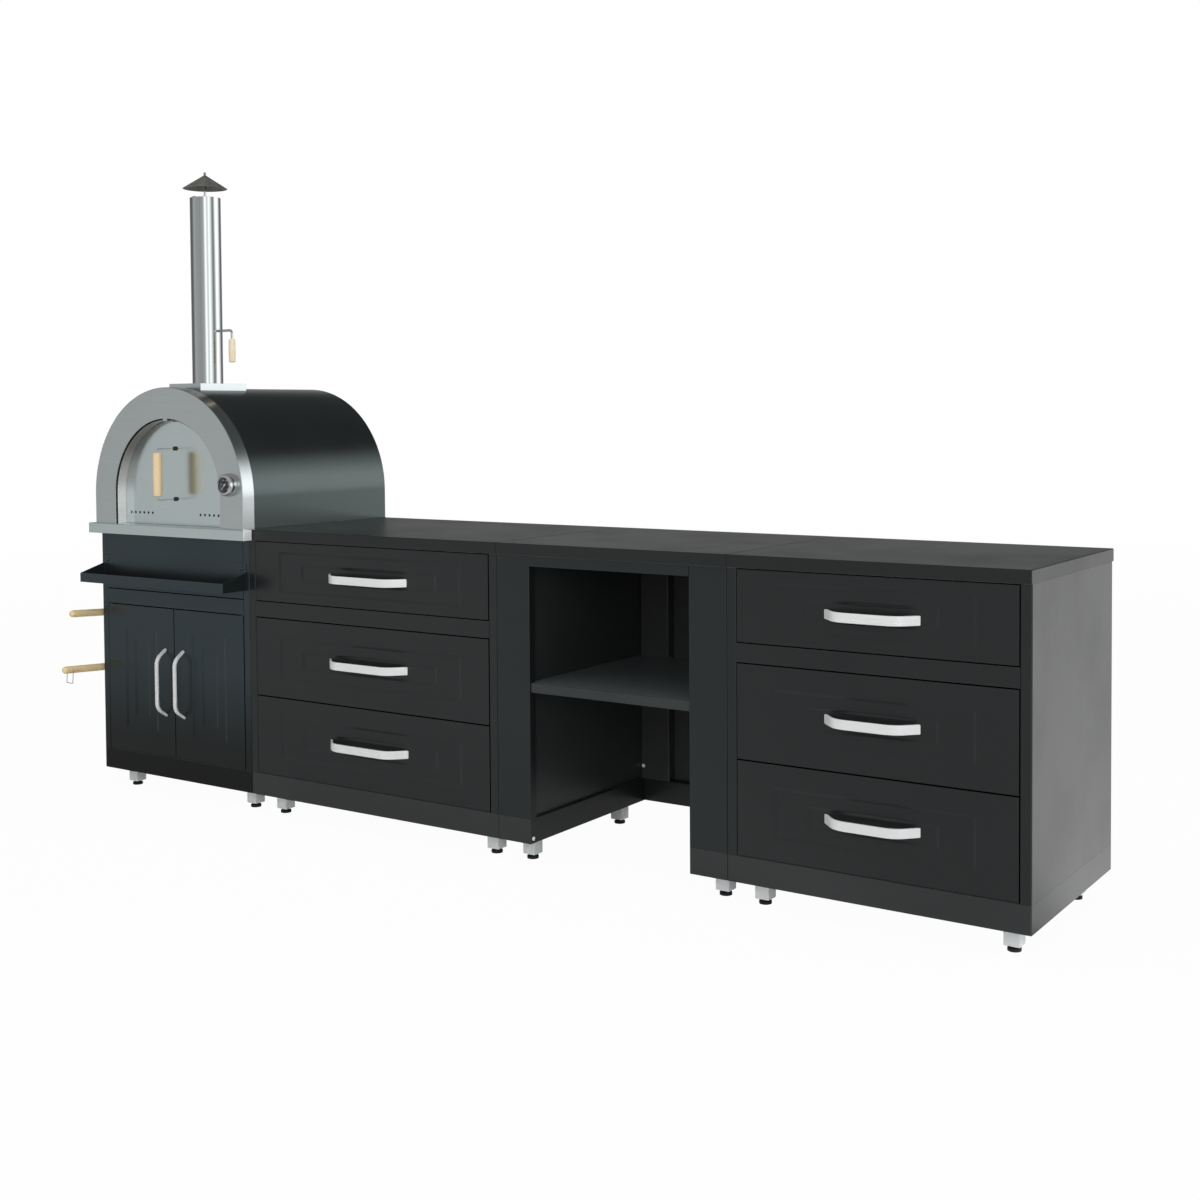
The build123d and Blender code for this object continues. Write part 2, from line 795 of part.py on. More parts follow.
flue_bore = pipe_radius + pipe_clearance
flue_hole = rod((oven_mid, pipe_setback, spring_z), (oven_mid, pipe_setback, pipe_top), flue_bore)
shell = arch_solid(shell_radius, worktop_height, arch_back, shell_back)
shell -= arch_solid(shell_radius - sheet, worktop_height - sheet, arch_back - sheet, shell_back - sheet)
nodes["oven_outer_shell"] = shell - flue_hole

# Firebox: barrel vault, back wall, front wall round the mouth, mouth liner and the stop behind the door
liner_front = sheet - arch_front + liner_gap
stop_front = door_setback + oven_door_thickness + seat_gap
vault_front = dome_front + dome_sheet
vault_back = dome_back - dome_sheet
dome_outer = dome_radius + dome_sheet
nodes["oven_firebox"] = group(
    arch_tube(dome_outer, dome_radius, vault_front, vault_back) - flue_hole,
    arch_solid(dome_outer, worktop_height, vault_back, dome_back),
    arch_tube(dome_outer, liner_radius, dome_front, vault_front),
    arch_tube(liner_radius + sheet, liner_radius, liner_front, dome_front),
    arch_tube(liner_radius, liner_radius - mouth_stop, stop_front, stop_front + sheet),
)

blanket_front = arch_back + insulation_gap
blanket = arch_solid(blanket_outer, worktop_height, blanket_front, blanket_back)
blanket -= arch_solid(blanket_inner, worktop_height - sheet, blanket_front - sheet, blanket_seat)
nodes["oven_insulation"] = blanket - flue_hole

stone_left = oven_mid - dome_radius + hearth_gap
stone_front = vault_front + hearth_gap
stone_back = vault_back - hearth_gap
stone_right = oven_mid - hearth_gap / 2
hearth_top = worktop_height + hearth_thickness
stone = block(stone_left, stone_right, stone_front, stone_back, worktop_height, hearth_top)
nodes["hearth_stones"] = group(stone, mirror(stone, about=oven_middle))

# Oven door: a shallow arched pan with air holes, a wire bail and a wooden grip
door_radius = liner_radius - oven_door_gap
door_back = door_setback + oven_door_thickness
door_floor = worktop_height + seat_gap
oven_door = arch_solid(door_radius, door_floor, door_setback, door_back)
oven_door -= arch_solid(door_radius - sheet, door_floor + sheet, door_setback + sheet, door_back + sheet)
notch_half = arch_tab_width / 2 + oven_door_gap
oven_door -= block(
    oven_mid - notch_half,
    oven_mid + notch_half,
    door_setback - sheet,
    door_back + sheet,
    tab_low - oven_door_gap,
    spring_z + mouth_radius,
)
air_z = worktop_height + air_hole_rise
for index in range(air_hole_count):
    for side in (-1, 1):
        hole_x = oven_mid + side * (door_radius - air_hole_margin - index * air_hole_pitch)
        oven_door -= rod((hole_x, 0, air_z), (hole_x, door_setback + 2 * sheet, air_z), air_hole_radius)
nodes["oven_door"] = oven_door

bail_mid = worktop_height + bail_rise
bail_low = bail_mid - bail_height / 2
bail_high = bail_mid + bail_height / 2
bail_y = door_setback - bail_reach
bail_path = FilletPolyline(
    (oven_mid, door_setback, bail_high),
    (oven_mid, bail_y, bail_high),
    (oven_mid, bail_y, bail_low),
    (oven_mid, door_setback, bail_low),
    radius=bail_bend,
)
bail = sweep(Plane(origin=bail_path @ 0, z_dir=bail_path % 0) * Circle(bail_wire_radius), path=bail_path)
boss_front = door_setback - bail_boss_height
for z in (bail_low, bail_high):
    bail += rod((oven_mid, boss_front, z), (oven_mid, door_setback, z), bail_boss_radius)
nodes["oven_door_bail"] = bail

grip_low = bail_mid - grip_length / 2
grip = rod((oven_mid, bail_y, grip_low), (oven_mid, bail_y, grip_low + grip_length), grip_radius)
grip = fillet(grip.edges().filter_by(GeomType.CIRCLE), grip_end_radius)
nodes["oven_door_grip"] = grip - rod(
    (oven_mid, bail_y, bail_low), (oven_mid, bail_y, bail_high), bail_wire_radius + grip_clearance
)

# Thermometer on the arch: cup, dial recess, needle and lens, with a stem through the sheet
gauge_front = -arch_front - gauge_depth
window_back = gauge_front + gauge_recess
cup = rod((gauge_x, gauge_front, gauge_z), (gauge_x, -arch_front, gauge_z), gauge_radius)
cup = fillet(cup.edges().filter_by(GeomType.CIRCLE).group_by(Axis.Y)[0], gauge_edge_radius)
cup -= rod((gauge_x, gauge_front - sheet, gauge_z), (gauge_x, window_back, gauge_z), gauge_window_radius)
stem_back = gauge_stem_length - arch_front
cup += rod((gauge_x, -arch_front, gauge_z), (gauge_x, stem_back, gauge_z), gauge_stem_radius)
lens_back = gauge_front + gauge_lens_thickness
pin_front = lens_back + seat_gap
cup += rod((gauge_x, pin_front, gauge_z), (gauge_x, window_back, gauge_z), needle_pivot_radius)
nodes["thermometer_case"] = cup
nodes["thermometer_lens"] = rod(
    (gauge_x, gauge_front, gauge_z), (gauge_x, lens_back, gauge_z), gauge_window_radius
)
needle_mid = (lens_back + window_back) / 2
needle_y0 = needle_mid - needle_thickness / 2
needle_y1 = needle_mid + needle_thickness / 2
needle = block(-needle_width / 2, needle_width / 2, needle_y0, needle_y1, -needle_tail, needle_length)
needle += rod((0, needle_y0, 0), (0, needle_y1, 0), 2 * needle_pivot_radius)
needle -= rod((0, gauge_front, 0), (0, window_back, 0), needle_pivot_radius + hinge_clearance)
nodes["thermometer_needle"] = Pos(gauge_x, 0, gauge_z) * Rot(0, needle_rest_angle, 0) * needle

# Chimney: saddle box on the shell, pipe down to the dome, rain cap on a rod from a bar across the pipe
flue_base_top = crown_z + flue_base_rise
saddle = block(
    oven_mid - flue_base_width / 2,
    oven_mid + flue_base_width / 2,
    pipe_setback - flue_base_depth / 2,
    pipe_setback + flue_base_depth / 2,
    spring_z,
    flue_base_top,
)
saddle -= arch_solid(shell_radius + pipe_clearance, worktop_height, -cabinet_depth, 2 * cabinet_depth)
nodes["flue_base"] = saddle - flue_hole

pipe_low = spring_z + dome_radius
pipe = rod((oven_mid, pipe_setback, pipe_low), (oven_mid, pipe_setback, pipe_top), pipe_radius)
pipe -= rod(
    (oven_mid, pipe_setback, pipe_low - pipe_wall),
    (oven_mid, pipe_setback, pipe_top + pipe_wall),
    pipe_radius - pipe_wall,
)
spindle_bore = spindle_radius + hinge_clearance
pipe -= rod(
    (oven_mid - 2 * pipe_radius, pipe_setback, damper_height),
    (oven_mid + 2 * pipe_radius, pipe_setback, damper_height),
    spindle_bore,
)
nodes["chimney_pipe"] = pipe

cap_rim = pipe_top + cap_lift
cap_place = Pos(oven_mid, pipe_setback, cap_rim + cap_height / 2)
cap = cap_place * Cone(cap_radius, cap_rod_radius, cap_height)
hollow_base = cap_radius - cap_sheet * cap_radius / cap_height
hollow_height = cap_height - cap_sheet
hollow_place = Pos(oven_mid, pipe_setback, cap_rim + hollow_height / 2)
cap -= hollow_place * Cone(hollow_base, cap_sheet / 2, hollow_height)
bar_low = pipe_top + seat_gap
bar_half = pipe_radius - pipe_clearance
cap += block(
    oven_mid - cap_bar_width / 2,
    oven_mid + cap_bar_width / 2,
    pipe_setback - bar_half,
    pipe_setback + bar_half,
    bar_low,
    bar_low + cap_sheet,
)
cap += rod(
    (oven_mid, pipe_setback, bar_low),
    (oven_mid, pipe_setback, cap_rim + cap_height + cap_rod_end),
    cap_rod_radius,
)
nodes["chimney_cap"] = cap

# Damper: butterfly plate on a spindle that bends down to a wooden grip outside the pipe
lever_x = oven_mid + pipe_radius + spindle_reach
spindle_path = FilletPolyline(
    (oven_mid - pipe_radius, pipe_setback, damper_height),
    (lever_x, pipe_setback, damper_height),
    (lever_x, pipe_setback, damper_height - damper_drop - damper_grip_length),
    radius=spindle_bend,
)
spindle_start = Plane(origin=spindle_path @ 0, z_dir=spindle_path % 0)
damper = sweep(spindle_start * Circle(spindle_radius), path=spindle_path)
damper += rod(
    (oven_mid, pipe_setback - damper_plate_thickness / 2, damper_height),
    (oven_mid, pipe_setback + damper_plate_thickness / 2, damper_height),
    pipe_radius - pipe_wall - damper_plate_gap,
)
nodes["damper"] = damper
damper_grip_high = damper_height - damper_drop
damper_grip_low = damper_grip_high - damper_grip_length
damper_grip = rod(
    (lever_x, pipe_setback, damper_grip_low),
    (lever_x, pipe_setback, damper_grip_high),
    damper_grip_radius,
)
damper_grip = fillet(damper_grip.edges().filter_by(GeomType.CIRCLE), grip_end_radius)
nodes["damper_grip"] = damper_grip - rod(
    (lever_x, pipe_setback, damper_grip_low - sheet),
    (lever_x, pipe_setback, damper_grip_high + sheet),
    spindle_radius + grip_clearance,
)

# Tools and the hooks that carry them
hook_places = (hook_front, hook_front + hook_spacing)
hooks = [hook(height, y) for height in (upper_tool_height, lower_tool_height) for y in hook_places]
nodes["tool_hooks"] = group(*hooks)
turn, handle, metal = tool(upper_tool_height, upper_tool_front, peel_width, peel_length)
nodes["peel_handle"] = turn * handle
nodes["peel_blade"] = turn * metal
turn, handle, metal = tool(lower_tool_height, lower_tool_front, scraper_width, scraper_length)
loop_y = loop_setback - lower_tool_front
handle -= rod(
    (-2 * tool_handle_radius, loop_y, 0),
    (2 * tool_handle_radius, loop_y, 0),
    loop_wire_radius + loop_bore_clearance,
)
nodes["scraper_handle"] = turn * handle
nodes["scraper_blade"] = turn * metal
loop_path = FilletPolyline(
    (loop_half_width, loop_y, 0),
    (loop_half_width, loop_y, -loop_drop),
    (-loop_half_width, loop_y, -loop_drop),
    (-loop_half_width, loop_y, 0),
    radius=2 * loop_wire_radius,
    close=True,
)
loop = sweep(Plane(origin=loop_path @ 0, z_dir=loop_path % 0) * Circle(loop_wire_radius), path=loop_path)
nodes["scraper_loop"] = turn * loop

os.makedirs("parts", exist_ok=True)
for name, shape in nodes.items():
    export_step(to_origin * shape, f"parts/{name}.step")
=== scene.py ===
import json
import math

import bmesh
import bpy
from mathutils import Matrix, Vector

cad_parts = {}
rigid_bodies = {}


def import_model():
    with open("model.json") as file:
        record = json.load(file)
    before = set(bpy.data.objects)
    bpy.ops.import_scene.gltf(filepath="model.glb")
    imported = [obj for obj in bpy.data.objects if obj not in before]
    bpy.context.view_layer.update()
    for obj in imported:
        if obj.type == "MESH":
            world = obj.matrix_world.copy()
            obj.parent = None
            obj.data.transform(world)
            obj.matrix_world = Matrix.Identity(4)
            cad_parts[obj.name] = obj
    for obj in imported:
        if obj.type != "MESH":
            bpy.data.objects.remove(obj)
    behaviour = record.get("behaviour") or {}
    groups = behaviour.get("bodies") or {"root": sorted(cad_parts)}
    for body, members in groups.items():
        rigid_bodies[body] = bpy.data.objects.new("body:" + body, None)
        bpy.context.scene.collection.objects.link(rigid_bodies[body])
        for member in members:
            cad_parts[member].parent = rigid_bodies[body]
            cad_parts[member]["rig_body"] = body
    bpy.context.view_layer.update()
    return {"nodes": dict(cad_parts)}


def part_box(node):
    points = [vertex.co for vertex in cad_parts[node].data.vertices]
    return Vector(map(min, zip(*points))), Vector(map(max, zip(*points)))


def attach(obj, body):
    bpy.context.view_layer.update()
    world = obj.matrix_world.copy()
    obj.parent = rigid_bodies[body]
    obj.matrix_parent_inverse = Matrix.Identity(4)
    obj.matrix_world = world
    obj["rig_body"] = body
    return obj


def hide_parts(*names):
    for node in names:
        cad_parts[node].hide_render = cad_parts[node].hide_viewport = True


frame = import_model()
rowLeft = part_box("oven_unit_carcass")[0].x  # left side of the oven unit
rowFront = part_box("oven_unit_carcass")[0].y  # plane of the cabinet fronts
print("frame loaded,", len(frame["nodes"]), "nodes")


# Small helpers for node trees

def setAll(thing, **values):
    for key, value in values.items():
        setattr(thing, key, value)


def feed(source, socket):
    if hasattr(source, "is_output"):
        socket.id_data.links.new(source, socket)
    else:
        socket.default_value = source


def addNode(tree, kind, values=None, **settings):
    node = tree.nodes.new("ShaderNode" + kind)
    setAll(node, **settings)
    for key, value in (values or {}).items():
        feed(value, node.inputs[key])
    return node


def calc(tree, operation, first, second):
    return addNode(tree, "Math", {0: first, 1: second}, operation=operation).outputs[0]


def times(tree, first, second):
    return calc(tree, "MULTIPLY", first, second)


def weighed(tree, first, firstShare, second, secondShare):
    return calc(tree, "ADD", times(tree, first, firstShare), times(tree, second, secondShare))


def spread(tree, value, low, high, fromLow=0.0, fromHigh=1.0):
    return addNode(tree, "MapRange", {
        "Value": value, "From Min": fromLow, "From Max": fromHigh, "To Min": low, "To Max": high,
    }).outputs["Result"]


def rising(tree, value, low, high):
    # 0 up to the low value, 1 from the high value on
    return spread(tree, value, 0.0, 1.0, low, high)


def mixed(tree, factor, first, second):
    # the colour sockets share their names with others, so they go by number
    return addNode(tree, "Mix", {"Factor": factor, 6: first, 7: second}, data_type="RGBA").outputs[2]


def stretched(tree, vector, scale, turn=(0, 0, 0)):
    return addNode(tree, "Mapping", {"Vector": vector, "Scale": scale, "Rotation": turn}).outputs["Vector"]


def noise(tree, vector, scale, detail, rough=0.5):
    return addNode(tree, "TexNoise", {
        "Vector": vector, "Scale": scale, "Detail": detail, "Roughness": rough}).outputs["Fac"]


def bumped(tree, height, strength, distance):
    return addNode(tree, "Bump", {
        "Height": height, "Strength": strength, "Distance": distance}).outputs["Normal"]


def axesOf(tree, vector):
    return addNode(tree, "SeparateXYZ", {0: vector}).outputs


def placed(tree, group, vector, values=None):
    return addNode(tree, "Group", {"Vector": vector, **(values or {})}, node_tree=group).outputs


def shaderGroup(name, values, outputs):
    # every group takes a Vector and puts out floats, or a Colour
    tree = bpy.data.node_groups.new(name, "ShaderNodeTree")
    tree.interface.new_socket(name="Vector", in_out="INPUT", socket_type="NodeSocketVector")
    for label, value in values.items():
        kind = "NodeSocketFloat" if isinstance(value, float) else "NodeSocketColor"
        tree.interface.new_socket(name=label, in_out="INPUT", socket_type=kind).default_value = value
    for label in outputs:
        kind = "NodeSocketColor" if label == "Colour" else "NodeSocketFloat"
        tree.interface.new_socket(name=label, in_out="OUTPUT", socket_type=kind)
    return tree, tree.nodes.new("NodeGroupInput").outputs, tree.nodes.new("NodeGroupOutput").inputs


# Shared surface effects

def makePowderTexture():
    # orange peel, fine grain and a slow drift of tone, as a sprayed and baked coat has
    tree, given, result = shaderGroup(
        "powderTexture", {"Peel": 420.0, "Grain": 1500.0}, ("Height", "Cloud", "Speck"))
    peel = noise(tree, given["Vector"], given["Peel"], 1.0)
    grain = noise(tree, given["Vector"], given["Grain"], 2.0, 0.6)
    cloud = noise(tree, given["Vector"], 2.6, 3.0, 0.55)
    feed(weighed(tree, peel, 0.7, grain, 0.3), result["Height"])
    feed(rising(tree, cloud, 0.3, 0.7), result["Cloud"])
    feed(rising(tree, grain, 0.58, 0.75), result["Speck"])
    return tree


def makeEdgeTouch():
    # mask of bevelled edges, lightened partly as rubbed wear and partly as a painted highlight, from the face
    # attribute that the bevels leave
    tree, given, result = shaderGroup("edgeWearAndHighlight", {"Amount": 0.6}, ("Mask",))
    edge = addNode(tree, "Attribute", attribute_name="wearAndHighlightEdge", attribute_type="GEOMETRY").outputs["Fac"]
    patch = spread(tree, noise(tree, given["Vector"], 34.0, 3.0, 0.6), 0.35, 1.0, 0.35, 0.65)
    feed(times(tree, times(tree, edge, patch), given["Amount"]), result["Mask"])
    return tree


def makeBrushedLines():
    # long fine scratches: the vector comes in squeezed across the brushing direction
    tree, given, result = shaderGroup("brushedLines", {}, ("Lines", "Height"))
    fine = noise(tree, given["Vector"], 1.0, 2.0, 0.6)
    broad = noise(tree, stretched(tree, given["Vector"], (0.3, 0.12, 0.12)), 1.0, 1.0)
    feed(rising(tree, weighed(tree, fine, 0.85, broad, 0.15), 0.3, 0.7), result["Lines"])
    feed(fine, result["Height"])
    return tree


def makeHandling():
    # faint wiped patches and fingermarks in the gloss
    tree, given, result = shaderGroup("handling", {"Size": 9.0}, ("Smudge",))
    patch = noise(tree, given["Vector"], given["Size"], 4.0, 0.6)
    feed(rising(tree, patch, 0.45, 0.7), result["Smudge"])
    return tree


def makeBeechGrain():
    # pale beech: soft streaks and short dark flecks along local X
    tree, given, result = shaderGroup(
        "beechGrain",
        {"Pale": (0.86, 0.70, 0.46, 1), "Warm": (0.72, 0.49, 0.26, 1), "Fleck": (0.40, 0.23, 0.11, 1)},
        ("Colour", "Height", "Fleck"),
    )
    streak = noise(tree, stretched(tree, given["Vector"], (9, 150, 150)), 1.0, 4.0, 0.6)
    band = noise(tree, stretched(tree, given["Vector"], (3, 40, 40)), 1.0, 2.0)
    dash = noise(tree, stretched(tree, given["Vector"], (110, 900, 900)), 1.0, 1.0)
    tone = weighed(tree, streak, 0.6, band, 0.4)
    ground = mixed(tree, rising(tree, tone, 0.36, 0.66), given["Pale"], given["Warm"])
    fleck = rising(tree, dash, 0.60, 0.74)
    feed(mixed(tree, times(tree, fleck, 0.38), ground, given["Fleck"]), result["Colour"])
    feed(calc(tree, "SUBTRACT", streak, times(tree, fleck, 0.5)), result["Height"])
    feed(fleck, result["Fleck"])
    return tree


def makeSootStain():
    # smoke marks: cloudy, darker in patches
    tree, given, result = shaderGroup("sootStain", {"Size": 7.0, "Cover": 0.5}, ("Soot",))
    cloud = noise(tree, given["Vector"], given["Size"], 5.0, 0.62)
    low = calc(tree, "SUBTRACT", 0.72, times(tree, given["Cover"], 0.45))
    feed(rising(tree, cloud, low, calc(tree, "ADD", low, 0.2)), result["Soot"])
    return tree


studioLook = {
    # brightness that metal and gloss show: degrees from the front, to the right
    "wallRound": (
        (-180, 0.12), (-172, 0.15), (-164, 0.36), (-135, 0.38), (-112, 0.34), (-95, 0.17), (-80, 0.16), (-64, 0.24),
        (-52, 0.56), (-25, 0.46), (-8, 0.46), (3, 0.42), (20, 0.50), (30, 0.60), (36, 1.0), (41, 1.75), (49, 1.8),
        (54, 1.1), (63, 1.05), (68, 1.8), (74, 1.8), (80, 1.4), (88, 1.0), (95, 0.45), (103, 0.26), (109, 0.45),
        (117, 1.3), (130, 1.85), (142, 1.9), (153, 1.3), (165, 0.55), (172, 0.20),
    ),
    "floorRound": (
        (-180, 0.14), (-160, 0.20), (-135, 0.24), (-95, 0.36), (-68, 0.44), (-50, 0.62), (-45, 0.48), (-35, 0.45),
        (20, 0.48), (34, 1.0), (88, 1.0), (97, 0.34), (114, 0.34), (122, 0.82), (142, 0.82), (152, 1.25), (166, 1.25),
        (173, 0.14),
    ),
    "gain": 2.0, "floorMiddle": (1.5, -0.1, 0),
    "frontCeiling": (0.42, 0.42, 0.40, 1), "backCeiling": (0.07, 0.073, 0.073, 1),
    "ceilingRise": (0.20, 0.50), "backRise": (-0.2, 0.3),
}


def makeStudioRound(name):
    # a ramp round the horizon, held at half strength because its stops end at 1
    tree, given, result = shaderGroup(name, {}, ("Colour",))
    axes = axesOf(tree, given["Vector"])
    turn = calc(tree, "ARCTAN2", axes["X"], times(tree, axes["Y"], -1.0))
    ramp = addNode(tree, "ValToRGB", {"Fac": calc(tree, "ADD", calc(tree, "DIVIDE", turn, 2 * math.pi), 0.5)})
    stops = ramp.color_ramp.elements
    stops.remove(stops[1])
    for index, (angle, bright) in enumerate(studioLook[name]):
        place = angle / 360 + 0.5
        stop = stops.new(place) if index else stops[0]
        stop.position = place
        level = bright / studioLook["gain"]
        stop.color = (level, level, level, 1)
    gain = addNode(tree, "VectorMath", {0: ramp.outputs["Color"], "Scale": studioLook["gain"]}, operation="SCALE")
    feed(gain.outputs["Vector"], result["Colour"])
    return tree


powderTexture = makePowderTexture()
edgeWearAndHighlight = makeEdgeTouch()
brushedLines = makeBrushedLines()
handling = makeHandling()
beechGrain = makeBeechGrain()
sootStain = makeSootStain()
wallRound = makeStudioRound("wallRound")
floorRound = makeStudioRound("floorRound")
print("shared effects built")


# Finishes

def newFinish(name, values):
    material = bpy.data.materials.new(name)
    material.use_nodes = True
    tree = material.node_tree
    shader = tree.nodes["Principled BSDF"].inputs
    for key, value in values.items():
        shader[key].default_value = value
    return material, tree, shader, addNode(tree, "TexCoord").outputs["Object"]


def surface(shader, colour, rough, normal=None):
    feed(colour, shader["Base Color"])
    feed(rough, shader["Roughness"])
    if normal is not None:
        feed(normal, shader["Normal"])


def powderCoat(name, look):
    material, tree, shader, where = newFinish(name, {
        "Specular IOR Level": look["specular"], "Specular Tint": look["sheen"]})
    # painted shade: the sheen tint dims towards the bottom, standing in for the floor's shade in the gloss
    if "sheenShadeRise" in look:
        unshadedSheenShare = rising(tree, axesOf(tree, where)["Z"], *look["sheenShadeRise"])
        feed(mixed(tree, unshadedSheenShare, look["shadedSheen"], look["sheen"]), shader["Specular Tint"])
    texture = placed(tree, powderTexture, where, {"Peel": look["peel"], "Grain": look["grain"]})
    wearAndHighlight = placed(tree, edgeWearAndHighlight, where, {"Amount": look["wearAndHighlight"]})["Mask"]
    smudge = placed(tree, handling, where, {"Size": look["smudgeSize"]})["Smudge"]
    ground = mixed(tree, texture["Cloud"], look["dark"], look["light"])
    grained = mixed(tree, times(tree, texture["Speck"], look["speck"]), ground, look["edge"])
    gloss = spread(tree, smudge, *look["rough"])
    # the bevels take the lighter edge colour: partly rubbed wear, partly a painted highlight
    surface(
        shader, mixed(tree, wearAndHighlight, grained, look["edge"]),
        calc(tree, "SUBTRACT", gloss, times(tree, wearAndHighlight, look["rubbedGloss"])),
        bumped(tree, texture["Height"], look["bump"], look["bumpDepth"]),
    )
    return material


def brushedMetal(name, look):
    material, tree, shader, where = newFinish(name, {"Metallic": look["metallic"]})
    brushed = placed(tree, brushedLines, stretched(tree, where, look["lines"]))
    smudge = placed(tree, handling, where, {"Size": look["smudgeSize"]})["Smudge"]
    wearAndHighlight = placed(tree, edgeWearAndHighlight, where, {"Amount": look["wearAndHighlight"]})["Mask"]
    lined = mixed(tree, brushed["Lines"], look["dark"], look["light"])
    low, high = look["rough"]
    lineGloss = spread(tree, brushed["Lines"], low, (low + high) / 2)
    # the bevels take the lighter edge colour: partly rubbed wear, partly a painted highlight
    surface(
        shader, mixed(tree, wearAndHighlight, lined, look["edge"]),
        calc(tree, "ADD", lineGloss, times(tree, smudge, (high - low) / 2)),
        bumped(tree, brushed["Height"], look["bump"], look["bumpDepth"]),
    )
    return material


def darkTopSteel(name, look):
    # bright low down, darker and browner towards the top
    material, tree, shader, where = newFinish(name, {"Metallic": look["metallic"]})
    brushed = placed(tree, brushedLines, stretched(tree, where, look["lines"]))
    darkRise = rising(tree, axesOf(tree, where)["Z"], *look["darkRise"])
    bare = mixed(tree, brushed["Lines"], look["dark"], look["light"])
    surface(
        shader, mixed(tree, darkRise, bare, look["brown"]), spread(tree, brushed["Lines"], *look["rough"]),
        bumped(tree, brushed["Height"], look["bump"], look["bumpDepth"]),
    )
    return material


def turnedBeech(name, look):
    material, tree, shader, where = newFinish(name, {"Specular IOR Level": look["specular"]})
    along = stretched(tree, where, (1, 1, 1), look["turn"])
    grain = placed(tree, beechGrain, along, {"Pale": look["pale"], "Warm": look["warm"]})
    smudge = placed(tree, handling, where, {"Size": look["smudgeSize"]})["Smudge"]
    surface(
        shader, mixed(tree, times(tree, smudge, look["smudge"]), grain["Colour"], look["handled"]),
        spread(tree, grain["Fleck"], *look["rough"]),
        bumped(tree, grain["Height"], look["bump"], look["bumpDepth"]),
    )
    return material


def grainedPaint(name, look):
    material, tree, shader, where = newFinish(name, {"Specular IOR Level": look["specular"]})
    texture = placed(tree, powderTexture, where, {"Peel": look["peel"], "Grain": look["grain"]})
    surface(
        shader, mixed(tree, texture["Cloud"], look["dark"], look["light"]),
        spread(tree, texture["Speck"], *look["rough"]),
        bumped(tree, texture["Height"], *look["bump"]) if "bump" in look else None,
    )
    return material


# the edge colour goes on the bevels: partly rubbed wear, partly a painted highlight
coatLook = {
    "dark": (0.0092, 0.0110, 0.0119, 1), "light": (0.0110, 0.0130, 0.0139, 1), "edge": (0.07, 0.077, 0.08, 1),
    "rough": (0.29, 0.33), "rubbedGloss": 0.12, "specular": 0.5, "sheen": (1, 1, 1, 1), "peel": 420.0,
    "grain": 1500.0, "speck": 0.04, "wearAndHighlight": 0.5, "smudgeSize": 4.0, "bump": 0.05, "bumpDepth": 0.0004,
}
coatLooks = {
    "black": {},
    # slate: its sheen tint dims below the given heights, a painted shade
    "slate": {
        "dark": (0.0100, 0.0122, 0.0128, 1), "light": (0.0118, 0.0142, 0.0150, 1), "specular": 0.85,
        "sheen": (0.62, 0.88, 1, 1), "shadedSheen": (0.18, 0.19, 0.19, 1), "sheenShadeRise": (0.20, 0.44),
    },
    "worktop": {
        "dark": (0.0075, 0.0092, 0.0096, 1), "light": (0.0090, 0.0108, 0.0113, 1), "edge": (0.14, 0.15, 0.155, 1),
        "rough": (0.34, 0.38), "peel": 520.0, "grain": 1300.0, "speck": 0.05, "wearAndHighlight": 0.7,
    },
    "skirt": {"dark": (0.023, 0.025, 0.026, 1), "light": (0.027, 0.029, 0.030, 1)},
    # a darker copy of the coat for the skirt under the oven: painted shade
    "shadedSkirt": {"dark": (0.003, 0.0035, 0.0035, 1), "light": (0.0045, 0.005, 0.005, 1), "specular": 0.25},
    # a lighter copy of the coat for the bay's back panel: painted light inside the shaded bay
    "bay": {"dark": (0.034, 0.0355, 0.0365, 1), "light": (0.039, 0.041, 0.042, 1)},
    "post": {"specular": 0.53, "sheen": (0.88, 0.97, 1, 1)},
    # a lighter copy for the bay's inner walls: painted light
    "wall": {"dark": (0.026, 0.029, 0.029, 1), "light": (0.030, 0.034, 0.033, 1)},
    # a near-black copy of the coat for the side faces of the fronts: painted shade in the gaps
    "gap": {
        "dark": (0.0018, 0.0020, 0.0020, 1), "light": (0.0026, 0.0028, 0.0028, 1), "specular": 0.12, "wearAndHighlight": 0.0,
    },
    # the shelf top is a far lighter copy and its front edge a darker one: painted light in the shaded bay
    "shelf": {"dark": (0.080, 0.093, 0.098, 1), "light": (0.092, 0.106, 0.112, 1), "rough": (0.36, 0.42)},
    "shelfEdge": {"dark": (0.027, 0.032, 0.034, 1), "light": (0.032, 0.037, 0.040, 1), "rough": (0.36, 0.42)},
}
coats = {kind: powderCoat(kind + "PowderCoat", {**coatLook, **look}) for kind, look in coatLooks.items()}
shellCoat = powderCoat("ovenShellCoat", {
    **coatLook, "dark": (0.0085, 0.0100, 0.0100, 1), "light": (0.0115, 0.0135, 0.0135, 1), "rough": (0.20, 0.25),
    "specular": 1.0, "sheen": (0.79, 1, 0.985, 1), "peel": 260.0, "wearAndHighlight": 0.4, "smudgeSize": 3.0,
})

